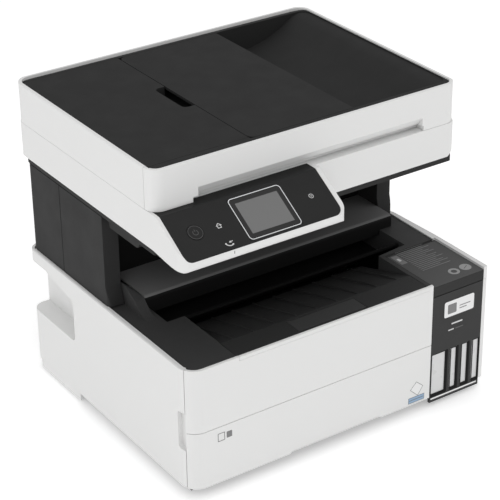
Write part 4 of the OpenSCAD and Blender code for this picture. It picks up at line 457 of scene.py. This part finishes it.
# ---- cassette front --------------------------------------------------------
plate("cassette_mark", FRONT, rounded(-155, -146.5, 62.3, 72, 0.8), MID, "paper_cassette", 0, 0.07,
      rounded(-154.2, -147.3, 63.1, 71.2, 0.4))
plate("cassette_mark_lines", FRONT, rounded(-144.5, -138, 63.5, 70.8, 0.8), MID, "paper_cassette", 0, 0.07)
plate("size_label", FRONT, rounded(87.7, 109.3, 15.3, 22.5, 0.3), BLUE, "paper_cassette", 0, 0.06)
plate("size_label_edge", FRONT, rounded(87.7, 109.3, 15.3, 22.5, 0.3), LINE, "paper_cassette", 0.05, 0.09,
      rounded(88.2, 108.8, 15.8, 22.0, 0.1))
plate("size_label_bar", FRONT, line((89.0, 18.9), (108.0, 18.9), 0.7), LINE, "paper_cassette", 0.05, 0.09)
quad = [(98.0, 40.7), (107.4, 32.6), (100.2, 22.4), (89.7, 32.2)]
mid = (sum(p[0] for p in quad) / 4, sum(p[1] for p in quad) / 4)


def shrink(pts, k):
    return [(mid[0] + (p[0] - mid[0]) * k, mid[1] + (p[1] - mid[1]) * k) for p in pts]


plate("tilted_label", FRONT, quad, LABEL, "paper_cassette", 0, 0.07)
plate("tilted_edge", FRONT, quad, LINE, "paper_cassette", 0.05, 0.1, shrink(quad, 0.92))

# ---- camera, light and floor ----------------------------------------------

cam_data = bpy.data.cameras.new("camera")
cam_data.lens = 129.90
cam_data.sensor_width = 36.0
cam = bpy.data.objects.new("camera", cam_data)
bpy.context.scene.collection.objects.link(cam)
yaw, pitch, roll = (math.radians(a) for a in (33.85, -28.24, -0.77))
fwd = Vector((math.sin(yaw) * math.cos(pitch), math.cos(yaw) * math.cos(pitch), math.sin(pitch)))
right = Vector((math.cos(yaw), -math.sin(yaw), 0))
up = right.cross(fwd)
c, s = math.cos(roll), math.sin(roll)
right, up = c * right + s * up, -s * right + c * up
cam_place = Matrix.Translation((-0.9552, -1.4283, 1.0776))
cam.matrix_world = cam_place @ Matrix((right, up, -fwd)).transposed().to_4x4()
cam_data.clip_end = 100.0
bpy.context.scene.camera = cam

bpy.context.scene.view_settings.view_transform = "Standard"
world = bpy.data.worlds.new("studio")
bpy.context.scene.world = world
world.use_nodes = True
bg = world.node_tree.nodes["Background"]
bg.inputs["Color"].default_value = (1.0, 1.0, 1.0, 1)
bg.inputs["Strength"].default_value = 0.52


def softbox(name, location, target, size, energy):
    d = bpy.data.lights.new(name, "AREA")
    d.shape = "RECTANGLE"
    d.size, d.size_y = size
    d.energy = energy
    o = bpy.data.objects.new(name, d)
    bpy.context.scene.collection.objects.link(o)
    o.location = location
    o.rotation_euler = (Vector(target) - Vector(location)).to_track_quat("-Z", "Y").to_euler()


softbox("key", (-1.3, -1.6, 2.0), (0, 0, 0.15), (1.6, 1.6), 17)
softbox("top", (0.3, 0.2, 2.4), (0, 0, 0.2), (2.2, 2.2), 12)
softbox("fill", (1.9, -1.4, 0.9), (0, 0, 0.15), (1.4, 1.4), 7)
softbox("left", (-2.2, 0.6, 1.0), (0, 0, 0.15), (1.6, 1.4), 6.5)

floor_mat, _, floor_shader = new_material("floor", (0.93, 0.93, 0.93, 1), 0.8, spec=0.1)
floor_shader.inputs["Emission Color"].default_value = (1, 1, 1, 1)
floor_shader.inputs["Emission Strength"].default_value = 0.35
bpy.ops.mesh.primitive_plane_add(size=40, location=(0, 0, -0.0002))
floor = bpy.context.object
floor.name = "floor"
floor.data.materials.append(floor_mat)
